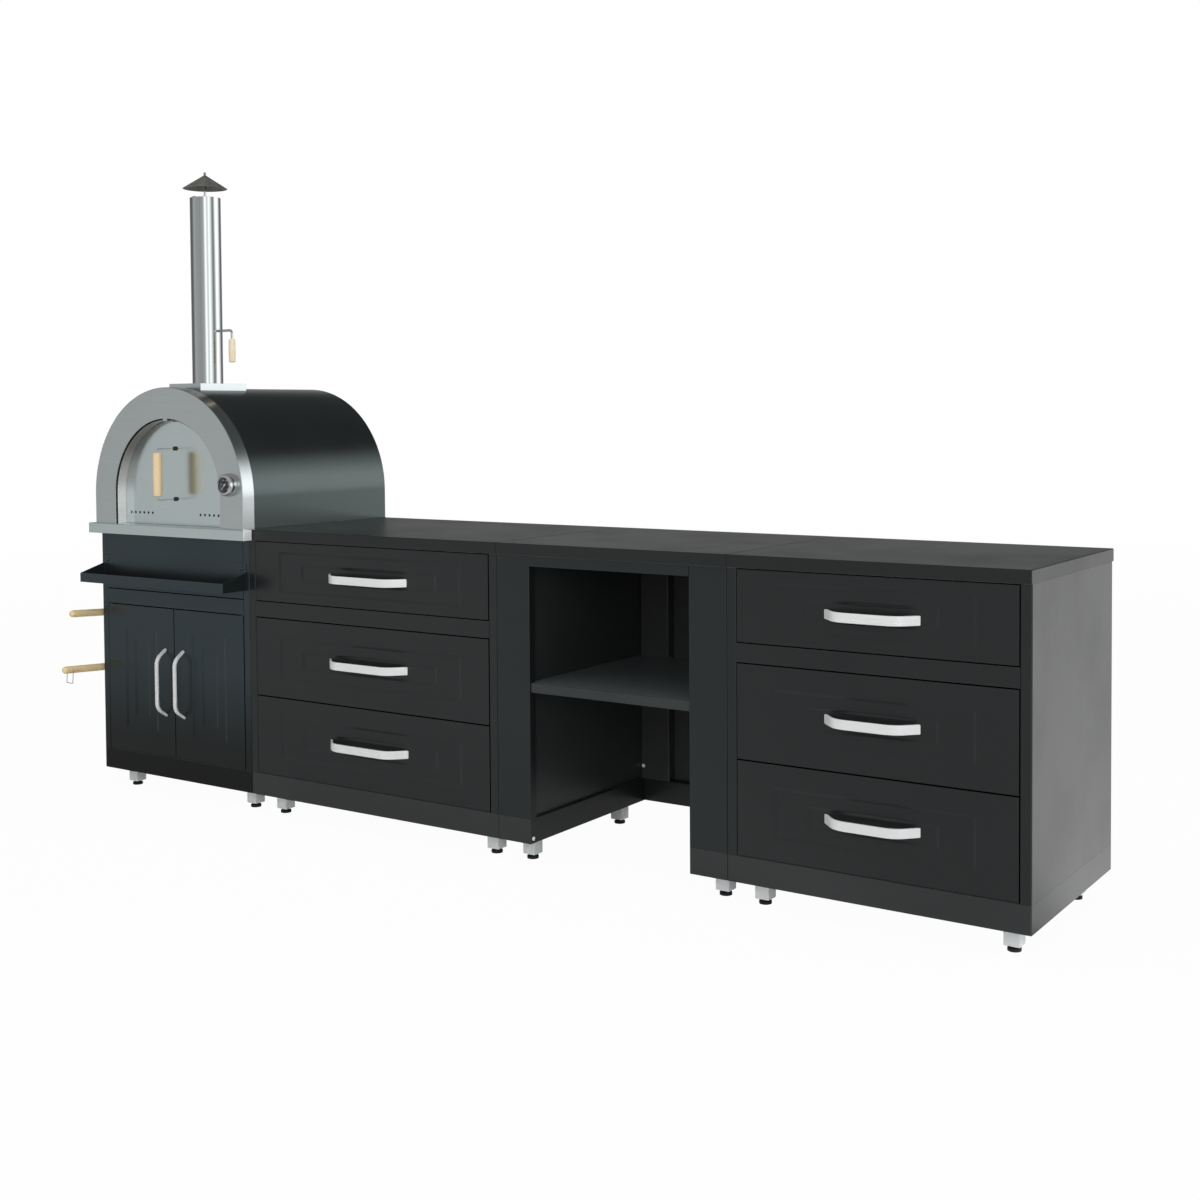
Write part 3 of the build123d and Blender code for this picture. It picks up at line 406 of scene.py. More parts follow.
metalLook = {
    "dark": (0.535, 0.58, 0.585, 1), "light": (0.595, 0.64, 0.645, 1), "edge": (0.74, 0.77, 0.77, 1),
    "metallic": 1.0, "wearAndHighlight": 0.4, "smudgeSize": 6.0, "bumpDepth": 0.0002,
}
acrossLines = (8, 1400, 1400)
paleLook = {"dark": (0.61, 0.69, 0.69, 1), "light": (0.67, 0.75, 0.75, 1), "lines": acrossLines}
handleLook = {
    "dark": (0.85, 0.875, 0.88, 1), "light": (0.87, 0.895, 0.90, 1), "edge": (0.88, 0.90, 0.90, 1),
    "metallic": 0.18, "rough": (0.26, 0.28), "bump": 0.002,
}
metalLooks = {
    "archSteel": {"lines": acrossLines, "rough": (0.22, 0.27), "bump": 0.012},
    "baseSteel": {**paleLook, "rough": (0.20, 0.25), "bump": 0.012},
    "doorSteel": {**paleLook, "rough": (0.19, 0.23), "bump": 0.006},
    # a pale, barely metallic copy of the steel for the base's right-hand ear: painted highlight
    "highlightEarSteel": {
        "dark": (0.90, 0.91, 0.91, 1), "light": (0.94, 0.95, 0.95, 1), "metallic": 0.15, "lines": (300, 300, 300),
        "rough": (0.3, 0.36), "bump": 0.006,
    },
    "pipeSteel": {
        "dark": (0.54, 0.57, 0.57, 1), "light": (0.60, 0.63, 0.63, 1), "lines": (900, 900, 4),
        "rough": (0.10, 0.14), "bump": 0.008,
    },
    "handleSteel": {**handleLook, "lines": (6, 500, 500)},
    "doorHandleSteel": {**handleLook, "lines": (500, 500, 6)},
    "legMetal": {
        "dark": (0.88, 0.91, 0.92, 1), "light": (0.91, 0.94, 0.95, 1), "edge": (0.92, 0.93, 0.94, 1),
        "metallic": 0.1, "lines": (300, 300, 20), "rough": (0.34, 0.42), "bump": 0.02,
    },
    "capSteel": {
        "dark": (0.22, 0.22, 0.20, 1), "light": (0.36, 0.36, 0.33, 1), "edge": (0.35, 0.35, 0.33, 1),
        "metallic": 0.8, "lines": (40, 40, 40), "rough": (0.40, 0.58), "bump": 0.2,
    },
    "drawerSteel": {
        "dark": (0.42, 0.43, 0.44, 1), "light": (0.56, 0.57, 0.58, 1), "metallic": 0.9, "lines": (30, 30, 30),
        "rough": (0.38, 0.52), "bump": 0.06,
    },
    "toolSteel": {"lines": (400, 12, 400), "rough": (0.28, 0.42), "bump": 0.06},
    "wireSteel": {"lines": (200, 200, 200), "rough": (0.16, 0.26), "bump": 0.02},
    "screwZinc": {
        "dark": (0.10, 0.105, 0.11, 1), "light": (0.16, 0.165, 0.17, 1), "lines": (200, 200, 200),
        "rough": (0.2, 0.3), "bump": 0.02,
    },
    "brightZinc": {
        "dark": (0.90, 0.91, 0.92, 1), "light": (0.93, 0.94, 0.95, 1), "metallic": 0.0, "lines": (60, 60, 60),
        "rough": (0.24, 0.28), "bump": 0.004,
    },
    "gaugeChrome": {
        "dark": (0.66, 0.67, 0.66, 1), "light": (0.72, 0.73, 0.72, 1), "lines": (60, 60, 60),
        "rough": (0.06, 0.10), "bump": 0.004,
    },
}
metals = {name: brushedMetal(name, {**metalLook, **look}) for name, look in metalLooks.items()}
linerSteel = darkTopSteel("linerSteel", {
    "dark": (0.84, 0.84, 0.83, 1), "light": (0.93, 0.93, 0.92, 1), "brown": (0.27, 0.26, 0.24, 1), "metallic": 0.35,
    "darkRise": (1.02, 1.15), "lines": (900, 6, 900), "rough": (0.16, 0.22), "bump": 0.006, "bumpDepth": 0.0002,
})

beechLook = {
    "turn": (0, math.pi / 2, 0), "specular": 0.35, "smudge": 0.25, "smudgeSize": 22.0, "rough": (0.42, 0.58),
    "bump": 0.25, "bumpDepth": 0.0004,
}
uprightBeech = turnedBeech("uprightBeech", {
    **beechLook, "pale": (0.93, 0.83, 0.62, 1), "warm": (0.84, 0.68, 0.45, 1), "handled": (0.86, 0.72, 0.50, 1),
})
doorBeech = turnedBeech("doorBeech", {
    **beechLook, "pale": (0.93, 0.76, 0.49, 1), "warm": (0.84, 0.60, 0.34, 1), "handled": (0.86, 0.64, 0.38, 1),
})
# paler and warmer than the other beech: painted light on the tool handles, which the lamps leave dim
toolBeech = turnedBeech("toolBeech", {
    **beechLook, "turn": (0, 0, math.pi / 2), "pale": (0.97, 0.81, 0.49, 1), "warm": (0.93, 0.68, 0.36, 1),
    "handled": (0.93, 0.69, 0.38, 1),
})

footPlastic = grainedPaint("footPlastic", {
    "dark": (0.010, 0.010, 0.011, 1), "light": (0.020, 0.020, 0.021, 1), "specular": 0.3, "peel": 700.0,
    "grain": 2400.0, "rough": (0.55, 0.7), "bump": (0.3, 0.0004),
})
dialPaint = grainedPaint("dialPaint", {
    "dark": (0.010, 0.016, 0.026, 1), "light": (0.016, 0.024, 0.036, 1), "specular": 0.4, "peel": 900.0,
    "grain": 3000.0, "rough": (0.35, 0.5), "bump": (0.1, 0.0002),
})
markLook = {"specular": 0.3, "peel": 1500.0, "grain": 5000.0, "rough": (0.45, 0.6)}
markPaint = grainedPaint("markPaint", {
    **markLook, "dark": (0.62, 0.64, 0.66, 1), "light": (0.72, 0.74, 0.75, 1)})
needlePaint = grainedPaint("needlePaint", {
    **markLook, "dark": (0.72, 0.70, 0.66, 1), "light": (0.80, 0.78, 0.74, 1)})


def makeSootSteel():
    material, tree, shader, where = newFinish("fireboxSteel", {"Metallic": 0.9})
    soot = placed(tree, sootStain, where, {"Size": 7.0, "Cover": 0.6})["Soot"]
    tint = placed(tree, brushedLines, stretched(tree, where, (12, 160, 160)))["Lines"]
    bare = mixed(tree, tint, (0.30, 0.27, 0.23, 1), (0.42, 0.40, 0.37, 1))
    surface(
        shader, mixed(tree, soot, bare, (0.03, 0.028, 0.026, 1)), spread(tree, soot, 0.3, 0.85),
        bumped(tree, soot, 0.2, 0.0005),
    )
    return material


def makeHearthStone():
    material, tree, shader, where = newFinish("hearthStone", {"Specular IOR Level": 0.2})
    soot = placed(tree, sootStain, where, {"Size": 6.0, "Cover": 0.35})["Soot"]
    texture = placed(tree, powderTexture, where, {"Peel": 160.0, "Grain": 620.0})
    clay = mixed(tree, texture["Cloud"], (0.52, 0.42, 0.30, 1), (0.64, 0.55, 0.42, 1))
    surface(
        shader, mixed(tree, times(tree, soot, 0.7), clay, (0.10, 0.085, 0.07, 1)),
        spread(tree, texture["Speck"], 0.8, 0.95), bumped(tree, texture["Height"], 0.5, 0.001),
    )
    return material


def makeBlanketFibre():
    material, tree, shader, where = newFinish("blanketFibre", {"Specular IOR Level": 0.1})
    strands = noise(tree, stretched(tree, where, (60, 240, 240)), 1.0, 5.0, 0.7)
    surface(
        shader, mixed(tree, strands, (0.62, 0.60, 0.55, 1), (0.80, 0.79, 0.75, 1)),
        spread(tree, strands, 0.85, 1.0), bumped(tree, strands, 0.8, 0.002),
    )
    return material


def makeGaugeGlass():
    material, tree, shader, where = newFinish("gaugeGlass", {"Transmission Weight": 1.0, "IOR": 1.12})
    smudge = placed(tree, handling, where, {"Size": 60.0})["Smudge"]
    surface(
        shader, mixed(tree, smudge, (1.0, 1.0, 1.0, 1), (0.96, 0.98, 0.98, 1)),
        spread(tree, smudge, 0.01, 0.05),
    )
    return material


sootSteel = makeSootSteel()
hearthStone = makeHearthStone()
blanketFibre = makeBlanketFibre()
gaugeGlass = makeGaugeGlass()
print("finishes built,", len(bpy.data.materials))


# Small helpers for modelling

def pickOnly(piece):
    bpy.ops.object.select_all(action="DESELECT")
    piece.select_set(True)
    bpy.context.view_layer.objects.active = piece


def startEdit(piece):
    pickOnly(piece)
    bpy.ops.object.mode_set(mode="EDIT")
    bpy.ops.mesh.select_mode(type="FACE")


def endEdit():
    bpy.ops.object.mode_set(mode="OBJECT")


def chooseFaces(piece, wanted):
    shape = bmesh.from_edit_mesh(piece.data)
    for face in shape.faces:
        face.select_set(wanted(face.normal))
    shape.select_flush_mode()
    bmesh.update_edit_mesh(piece.data)


def stepFace(move, grow, middle):
    bpy.ops.mesh.extrude_region_move(TRANSFORM_OT_translate={"value": move})
    bpy.ops.transform.resize(value=grow, center_override=middle)


def turnOutward():
    bpy.ops.mesh.select_all(action="SELECT")
    bpy.ops.mesh.normals_make_consistent(inside=False)


def applyPlace(piece):
    pickOnly(piece)
    bpy.ops.object.transform_apply(location=True, rotation=True, scale=True)


def standAt(piece, place, turn=(0, 0, 0)):
    piece.location = place
    piece.rotation_euler = turn
    applyPlace(piece)


def addPiece(add, **settings):
    bpy.ops.object.select_all(action="DESELECT")
    add(**settings)
    return bpy.context.object


def newBlock(place, size):
    piece = addPiece(bpy.ops.mesh.primitive_cube_add, size=1, location=place)
    piece.scale = size
    applyPlace(piece)
    return piece


def joinAll(pieces):
    pickOnly(pieces[0])
    for piece in pieces:
        piece.select_set(True)
    bpy.ops.object.join()
    return pieces[0]


def applyModifier(piece, name, kind, **settings):
    pickOnly(piece)
    setAll(piece.modifiers.new(name, kind), **settings)
    bpy.ops.object.modifier_apply(modifier=name)


def softenEdges(piece, width, segments=2, angle=35):
    piece.data.materials.append(piece.data.materials[0])  # the bevel's own faces get the second slot
    applyModifier(
        piece, "softEdge", "BEVEL", width=width, segments=segments, limit_method="ANGLE",
        angle_limit=math.radians(angle), use_clamp_overlap=False, material=1,
    )
    # the bevel faces are marked for the lighter edge colour, partly rubbed wear and partly a painted highlight
    wearAndHighlightFaces = piece.data.attributes.new("wearAndHighlightEdge", "FLOAT", "FACE")
    wearAndHighlightFaces.data.foreach_set("value", [float(face.material_index == 1) for face in piece.data.polygons])
    for face in piece.data.polygons:
        face.material_index = 0
    piece.data.materials.pop(index=1)


def smoothFaces(piece, angle=40, flatness=50):
    pickOnly(piece)
    bpy.ops.object.shade_smooth_by_angle(angle=math.radians(angle))
    applyModifier(piece, "evenNormals", "WEIGHTED_NORMAL", weight=flatness, keep_sharp=True)


def seat(piece, name, finish, body, slot, *nodes):
    piece.name = name
    if not piece.data.materials:
        piece.data.materials.append(finish)
    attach(piece, body)
    if nodes:
        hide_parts(*nodes)
    return piece


def bodyOf(node):
    return frame["nodes"][node]["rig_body"]


def secondFinish(piece, finish, wanted):
    piece.data.materials.append(finish)
    slotAt = len(piece.data.materials) - 1
    for face in piece.data.polygons:
        if wanted(face.center):
            face.material_index = slotAt


carcassForm = {"lipReach": 0.028, "panel": 0.0021, "overlap": 0.0012, "near": 0.0001}
mergeForm = {"gap": 0.00001, "flat": 0.5}


def tuckBackPanel(piece, low, high):
    # the upright edges of the back panel run on under the bends of the side lips
    shape = bmesh.from_edit_mesh(piece.data)
    panelFront = high.y - carcassForm["panel"]
    edges = ((-1, low.x + carcassForm["lipReach"]), (1, high.x - carcassForm["lipReach"]))
    for side, edgeAt in edges:
        for vert in shape.verts:
            vert.select_set(abs(vert.co.x - edgeAt) < carcassForm["near"] and vert.co.y > panelFront)
        bmesh.update_edit_mesh(piece.data)
        bpy.ops.transform.translate(value=(side * carcassForm["overlap"], 0, 0))


def dressNode(node, finish, slot, edge, smooth=40):
    # a merged copy of a CAD piece, with soft edges and even shading
    piece = bpy.data.objects.new(node + "_skin", frame["nodes"][node].data.copy())
    bpy.context.scene.collection.objects.link(piece)
    piece.data.materials.clear()
    piece.data.materials.append(finish)
    pickOnly(piece)
    if piece.data.has_custom_normals:
        bpy.ops.mesh.customdata_custom_splitnormals_clear()
    startEdit(piece)
    bpy.ops.mesh.select_all(action="SELECT")
    bpy.ops.mesh.remove_doubles(threshold=mergeForm["gap"])
    bpy.ops.mesh.dissolve_limited(angle_limit=math.radians(mergeForm["flat"]))
    bpy.ops.mesh.select_mode(type="VERT")
    bpy.ops.mesh.select_all(action="DESELECT")
    if node.endswith("_carcass"):
        tuckBackPanel(piece, *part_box(node))
    # sheets that touch are cut apart, so that each one's bevel is its own
    bpy.ops.mesh.select_mode(type="EDGE")
    bpy.ops.mesh.select_all(action="DESELECT")
    bpy.ops.mesh.select_non_manifold(
        use_wire=False, use_boundary=False, use_multi_face=True, use_non_contiguous=False, use_verts=False)
    bpy.ops.mesh.edge_split(type="EDGE")
    bpy.ops.mesh.select_mode(type="FACE")
    endEdit()
    if edge:
        softenEdges(piece, edge)
    smoothFaces(piece, smooth, 100)
    return seat(piece, node + "_skin", finish, bodyOf(node), slot, node)


# CAD pieces that keep their form and get soft edges and a finish

def drawerNodes(part):
    return [f"{unit}_drawer_{level}_{part}" for unit in ("left", "right") for level in ("top", "middle", "bottom")]


# finish, slot, width of the soft edges, nodes
dressedPieces = (
    (coats["black"], "cabinet_coat", 0.0007, ("left_unit_carcass", "right_unit_carcass", "tool_hooks")),
    (coats["post"], "cabinet_coat", 0.0007, ("bay_frame",)),
    (coats["bay"], "cabinet_coat", 0.0007, ("bay_back",)),
    (coats["skirt"], "cabinet_coat", 0.0007, ("plinth_skirts",)),
    (coats["slate"], "cabinet_coat", 0.0007, ("oven_unit_carcass", "utensil_tray")),
    (coats["shelf"], "cabinet_coat", 0.0012, ("bay_shelf",)),
    (coats["worktop"], "worktop_coat", 0.0006, ("left_worktop", "bay_worktop", "right_worktop")),
    (shellCoat, "oven_coat", 0.0009, ("oven_outer_shell",)),
    (metals["archSteel"], "stainless", 0.0006, ("flue_base",)),
    (metals["baseSteel"], "stainless", 0.0006, ("oven_base",)),
    (metals["doorSteel"], "stainless", 0.0008, ("oven_door",)),
    (metals["pipeSteel"], "stainless", 0.0004, ("chimney_pipe",)),
    (metals["legMetal"], "leg_metal", 0.0018, ("legs",)),
    (footPlastic, "foot_plastic", 0.001, ("levelling_feet",)),
    (metals["drawerSteel"], "drawer_steel", 0.0004, drawerNodes("box")),
    (coats["black"], "runner_steel", 0.0004, ("drawer_runners",)),
    (hearthStone, "hearth_stone", 0.002, ("hearth_stones",)),
    (metals["toolSteel"], "tool_steel", 0.0004, ("peel_blade", "scraper_blade")),
    (metals["wireSteel"], "tool_steel", 0, ("scraper_loop",)),
    (metals["wireSteel"], "stainless", 0.0004, ("damper",)),
)
skins = {}
for finish, slot, edge, nodes in dressedPieces:
    for node in nodes:
        skins[node] = dressNode(node, finish, slot, edge)
dressNode("oven_front_arch", metals["archSteel"], "stainless", 0, 80)  # its bend is rounded already

# Second finishes inside the bay, on the skirts and at the oven, several of them painted light and shade
bayReach = {"shelfEdge": 0.003, "wall": 0.002, "skirt": 0.02}
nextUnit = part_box("left_unit_carcass")[0].x
shelfLow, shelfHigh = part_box("bay_shelf")
shelfFront = shelfLow.y + bayReach["shelfEdge"]
skirtLow, skirtHigh = shelfLow.x - bayReach["skirt"], shelfHigh.x + bayReach["skirt"]
# the skirt under the oven takes the darker copy: painted shade
secondFinish(skins["plinth_skirts"], coats["shadedSkirt"], lambda place: place.x < nextUnit)
# the shelf's front edge and the bay's inner walls take their painted-light copies
secondFinish(skins["bay_shelf"], coats["shelfEdge"], lambda place: place.y < shelfFront)
secondFinish(skins["bay_frame"], coats["wall"], lambda place: (
    place.y > shelfFront and min(abs(place.x - shelfLow.x), abs(place.x - shelfHigh.x)) < bayReach["wall"]))
secondFinish(skins["plinth_skirts"], coats["black"], lambda place: (
    place.y > shelfFront and skirtLow < place.x < skirtHigh))

mouthForm = {
    "domeFront": 0.087, "domeReach": 0.001, "nutFront": 0.012, "nutReach": 0.0002, "doorFront": 0.018,
    "doorReach": 0.0001, "airRise": 0.037, "airReach": 0.0045, "earReach": 0.001,
}
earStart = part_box("oven_base")[1].x - mouthForm["earReach"]
# the right-hand ear of the base takes the pale steel: painted highlight
secondFinish(skins["oven_base"], metals["highlightEarSteel"], lambda place: place.x > earStart)
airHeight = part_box("left_worktop")[1].z + mouthForm["airRise"]
holeFront = rowFront + mouthForm["doorFront"] + mouthForm["doorReach"]
# the walls of the door's air holes take the black coat: painted shade in the holes
secondFinish(skins["oven_door"], coats["black"], lambda place: (
    place.y > holeFront and abs(place.z - airHeight) < mouthForm["airReach"]))
firebox = dressNode("oven_firebox", sootSteel, "firebox_steel", 0.0004)
linerBack = rowFront + mouthForm["domeFront"] - mouthForm["domeReach"]
secondFinish(firebox, linerSteel, lambda place: place.y < linerBack)
bail = dressNode("oven_door_bail", metals["wireSteel"], "stainless", 0.0004)
nutFront = rowFront + mouthForm["nutFront"] - mouthForm["nutReach"]
secondFinish(bail, coats["black"], lambda place: place.y > nutFront)

capForm = {"rodRadius": 0.006, "rodTop": 0.06, "rimAbovePipe": 0.030}
cap = dressNode("chimney_cap", metals["capSteel"], "cap_steel", 0.0004)
pipeLow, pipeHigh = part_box("chimney_pipe")
pipeMiddle = (pipeLow + pipeHigh) / 2
secondFinish(cap, metals["pipeSteel"], lambda place: place.z < pipeHigh.z + capForm["rimAbovePipe"] or (
    place.z < pipeHigh.z + capForm["rodTop"] and (place - pipeMiddle).xy.length < capForm["rodRadius"]))
frame["nodes"]["oven_insulation"].data.materials.clear()
frame["nodes"]["oven_insulation"].data.materials.append(blanketFibre)
print("CAD pieces dressed")


# Pressed fronts of the drawers and doors

frontForm = {
    "lip": 0.025, "sheet": 0.002, "pressDepth": 0.003, "pressRun": 0.008, "backFloor": 0.009, "edge": 0.0009,
    "bendAngles": (12, 60), "rimShare": 0.6,
}
pressForms = {
    "drawer": {"inset": (0.100, 0.056), "step": (0.092, 0.036)},
    "topDrawer": {"inset": (0.100, 0.028), "step": (0.092, 0.036)},
    "door": {"inset": (0.082, 0.075), "step": (0.042, 0.042)},
}


def softenPress(piece):
    # drawn sheet has a wide, soft bend along each step
    startEdit(piece)
    bpy.ops.mesh.select_mode(type="EDGE")
    shape = bmesh.from_edit_mesh(piece.data)
    gentle, steep = frontForm["bendAngles"]
    for edge in shape.edges:
        edge.select_set(gentle < math.degrees(edge.calc_face_angle(0)) < steep)
    shape.select_flush_mode()
    bmesh.update_edit_mesh(piece.data)
    bpy.ops.mesh.bevel(offset=frontForm["pressRun"] / 4, segments=3, affect="EDGES")
    endEdit()


def stepInward(size, middle, steps):
    # the chosen face moves back by each depth and takes on each width and height
    faceSize = (size.x, size.z)
    for move, target in steps:
        stepFace((0, move, 0), (target[0] / faceSize[0], 1, target[1] / faceSize[1]), middle)
        faceSize = target


def pressedFront(node, press, finish):
    low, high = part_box(node)
    middle = (low + high) / 2
    size = high - low
    piece = newBlock(middle, size)
    startEdit(piece)
    deep = frontForm["pressDepth"]
    outer = (size.x - 2 * press["inset"][0], size.z - 2 * press["inset"][1])
    inner = (outer[0] - 2 * press["step"][0], outer[1] - 2 * press["step"][1])
    slope = 2 * frontForm["pressRun"]
    chooseFaces(piece, lambda normal: normal.y < -0.9)
    stepInward(size, middle, (
        (0, outer), (deep, (outer[0] - slope, outer[1] - slope)),
        (0, inner), (deep, (inner[0] - slope, inner[1] - slope)),
    ))
    lip = 2 * frontForm["lip"]
    sheet = frontForm["sheet"]
    window = (size.x - lip, size.z - lip)
    cavity = (size.x - 2 * sheet, size.z - 2 * sheet)
    chooseFaces(piece, lambda normal: normal.y > 0.9)
    stepInward(size, middle, (
        (0, window), (-sheet, window), (0, cavity), (frontForm["backFloor"] + sheet - size.y, cavity),
    ))
    endEdit()
    piece.data.materials.append(finish)
    softenPress(piece)
    softenEdges(piece, frontForm["edge"], 3, 60)
    smoothFaces(piece, 40, 100)
    # the side faces of each front, inside the gaps, take the near-black copy: painted shade
    rim = frontForm["edge"] * frontForm["rimShare"]
    secondFinish(piece, coats["gap"], lambda place: (
        not low.x + rim < place.x < high.x - rim or not low.z + rim < place.z < high.z - rim))
    seat(piece, node + "_skin", finish, bodyOf(node), "cabinet_coat", node)


for node in drawerNodes("front"):
    pressedFront(node, pressForms["topDrawer" if "_top_" in node else "drawer"], coats["black"])
for node in ("left_cabinet_door", "right_cabinet_door"):
    pressedFront(node, pressForms["door"], coats["slate"])
print("pressed fronts modelled")


# Bow handles: a flat strap with wide bends, spun out from the bar at both ends and cut off at the front's face

bowForms = {
    "drawer": {"thick": 0.007, "run": 0.043, "bend": 0.062, "edge": 0.0018},
    "door": {"thick": 0.007, "run": 0.026, "bend": 0.040, "edge": 0.0016},
}


def bowHandle(node, form, finish):
    low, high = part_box(node)
    middle = (low + high) / 2
    upright = high.z - low.z > high.x - low.x
    length, width = (high.z - low.z, high.x - low.x) if upright else (high.x - low.x, high.z - low.z)
    thick, run, bend = form["thick"], form["run"], form["bend"]
    barPlace = low.y + thick / 2
    rise = high.y - barPlace
    slant = math.hypot(run, rise)
    turn = math.atan2(rise, run)
    trim = bend * math.tan(turn / 2)
    leg = slant - trim + 2 * thick
    barHalf = length / 2 - thick / 2 * slant / rise - run - trim
    piece = newBlock((0, barPlace, 0), (2 * barHalf, thick, width))
    startEdit(piece)
    for side in (1, -1):
        chooseFaces(piece, lambda normal: normal.x * side > 0.9)
        bpy.ops.mesh.spin(steps=14, angle=-side * turn, center=(side * barHalf, barPlace + bend, 0), axis=(0, 0, 1))
        bpy.ops.mesh.extrude_region_move(
            TRANSFORM_OT_translate={"value": (side * leg * math.cos(turn), leg * math.sin(turn), 0)})
    bpy.ops.mesh.select_all(action="SELECT")
    bpy.ops.mesh.bisect(plane_co=(0, high.y, 0), plane_no=(0, 1, 0), use_fill=True, clear_outer=True)
    turnOutward()
    endEdit()
    standAt(piece, (middle.x, 0, middle.z), (0, math.pi / 2 if upright else 0, 0))
    piece.data.materials.append(finish)
    softenEdges(piece, form["edge"], 3, 60)
    smoothFaces(piece)
    seat(piece, node + "_bow", finish, bodyOf(node), "handle_steel", node)


for node in drawerNodes("handle"):
    bowHandle(node, bowForms["drawer"], metals["handleSteel"])
for node in ("left_door_handle", "right_door_handle"):
    bowHandle(node, bowForms["door"], metals["doorHandleSteel"])
print("handles bent")


# Turned pieces: stations are (height, radius) up the axis

def quarterRound(height, radius, bend, up, steps=5):
    # stations of a rounded corner that starts on the side wall (up) or ends on it (down)
    turns = [math.pi / 2 * index / steps for index in range(steps + 1)]
    if up:
        return [(height - bend + bend * math.sin(turn), radius - bend + bend * math.cos(turn)) for turn in turns]
    return [(height + bend - bend * math.cos(turn), radius - bend + bend * math.sin(turn)) for turn in turns]


def turnedPiece(stations, sides=40):
    (firstHeight, firstRadius), (nextHeight, nextRadius) = stations[:2]
    piece = addPiece(
        bpy.ops.mesh.primitive_cylinder_add, vertices=sides, radius=firstRadius, depth=nextHeight - firstHeight,
        location=(0, 0, (firstHeight + nextHeight) / 2),
    )
    applyPlace(piece)
    startEdit(piece)
    chooseFaces(piece, lambda normal: normal.z > 0.9)
    change = nextRadius / firstRadius
    bpy.ops.transform.resize(value=(change, change, 1), center_override=(0, 0, nextHeight))
    for (height0, radius0), (height1, radius1) in zip(stations[1:], stations[2:]):
        change = radius1 / radius0
        stepFace((0, 0, height1 - height0), (change, change, 1), (0, 0, height1))
    turnOutward()
    endEdit()
    return piece


gripForm = {"bend": 0.004, "waist": 0.0006, "belly": (0.2, 0.35, 0.5, 0.65, 0.8)}


def woodenGrip(node, finish):
    low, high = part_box(node)
    middle = (low + high) / 2
    length = high.z - low.z
    radius = (high.x - low.x) / 2
    endRadius = radius - gripForm["waist"]
    stations = quarterRound(0, endRadius, gripForm["bend"], False)
    stations += [
        (length * share, radius - gripForm["waist"] * (1 - math.sin(math.pi * share))) for share in gripForm["belly"]
    ]
    stations += quarterRound(length, endRadius, gripForm["bend"], True)
    piece = turnedPiece(stations)
    standAt(piece, (middle.x, middle.y, low.z))
    smoothFaces(piece, 50)
    seat(piece, node + "_turned", finish, bodyOf(node), "beech", node)


woodenGrip("oven_door_grip", doorBeech)
woodenGrip("damper_grip", uprightBeech)

toolForm = {
    "tilt": 3.5, "radius": 0.012, "offset": 0.028, "length": 0.330, "endStep": 0.0012,
    "tipAngles": (8, 22, 36, 50, 64, 78, 90), "shank": (0.3, 0.6, 0.97),
    "peel_handle": {"height": 0.591, "front": 0.113},
    "scraper_handle": {"height": 0.404, "front": 0.1459},
}


def toolHandle(node):
    radius, length = toolForm["radius"], toolForm["length"]
    turns = map(math.radians, toolForm["tipAngles"])
    stations = [(radius - radius * math.cos(turn), radius * math.sin(turn)) for turn in turns]
    stations += [(length * share, radius) for share in toolForm["shank"]]
    stations.append((length, radius - toolForm["endStep"]))
    piece = turnedPiece(stations)
    # the axis runs back from the tip and drops by the tilt
    height, reach = toolForm[node]["height"], toolForm[node]["front"]
    tilt = math.radians(toolForm["tilt"])
    tipPlace = (rowLeft - toolForm["offset"], rowFront - reach * math.cos(tilt), height + reach * math.sin(tilt))
    standAt(piece, tipPlace, (-math.pi / 2 - tilt, 0, 0))
    smoothFaces(piece, 50)
    seat(piece, node + "_turned", toolBeech, bodyOf(node), "beech", node)


toolHandle("peel_handle")
toolHandle("scraper_handle")
print("grips and tool handles turned")


# Thermometer: cup, dial with plain numbers, needle and a domed lens

gaugeForm = {
    "radius": 0.037, "depth": 0.026, "foot": 0.003, "footStep": 0.001, "recess": 0.008, "rim": 0.0024,
    "rimBend": (0.0008, 0.0012), "sides": 64, "sweep": 270, "start": -135,
}
dialForm = {
    "thick": 0.0004, "reach": (0.99, 0.985), "ticks": 26, "tickReach": 0.93, "tickThick": 0.0004,
    "longTick": (0.0008, 0.0036), "shortTick": (0.0005, 0.002), "longEvery": 5,
    "numbers": ("0", "100", "200", "300", "400", "500"), "numberSize": 0.0052, "numberReach": 0.66,
    "numberThick": 0.0001,
}
needleForm = {
    "size": (0.0024, 0.027, 0.0008), "tipShare": 0.25, "ahead": 0.0065,
    "hub": ((-0.0006, 0.0027), (0.0004, 0.0030), (0.0010, 0.0026), (0.0014, 0.0014)), "hubSides": 24,
}
lensForm = {"reach": 0.985, "back": 0.002, "edge": 0.0008, "dome": 0.0014, "shares": (0.8, 0.6, 0.4, 0.2, 0.04)}
lensLow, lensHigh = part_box("thermometer_lens")
gaugeDepth = gaugeForm["depth"]
gaugeAt = Vector(((lensLow.x + lensHigh.x) / 2, lensLow.y + gaugeDepth, (lensLow.z + lensHigh.z) / 2))
window = (lensHigh.x - lensLow.x) / 2  # radius inside the rim
dialFloor = gaugeDepth - gaugeForm["recess"]
dialTop = dialFloor + dialForm["thick"]


def outFrom(piece):
    # turned upright, then laid so that its axis points out of the arch
    standAt(piece, gaugeAt, (math.pi / 2, 0, 0))


def markAngle(index, count):
    return math.radians(gaugeForm["start"] + gaugeForm["sweep"] * index / (count - 1))


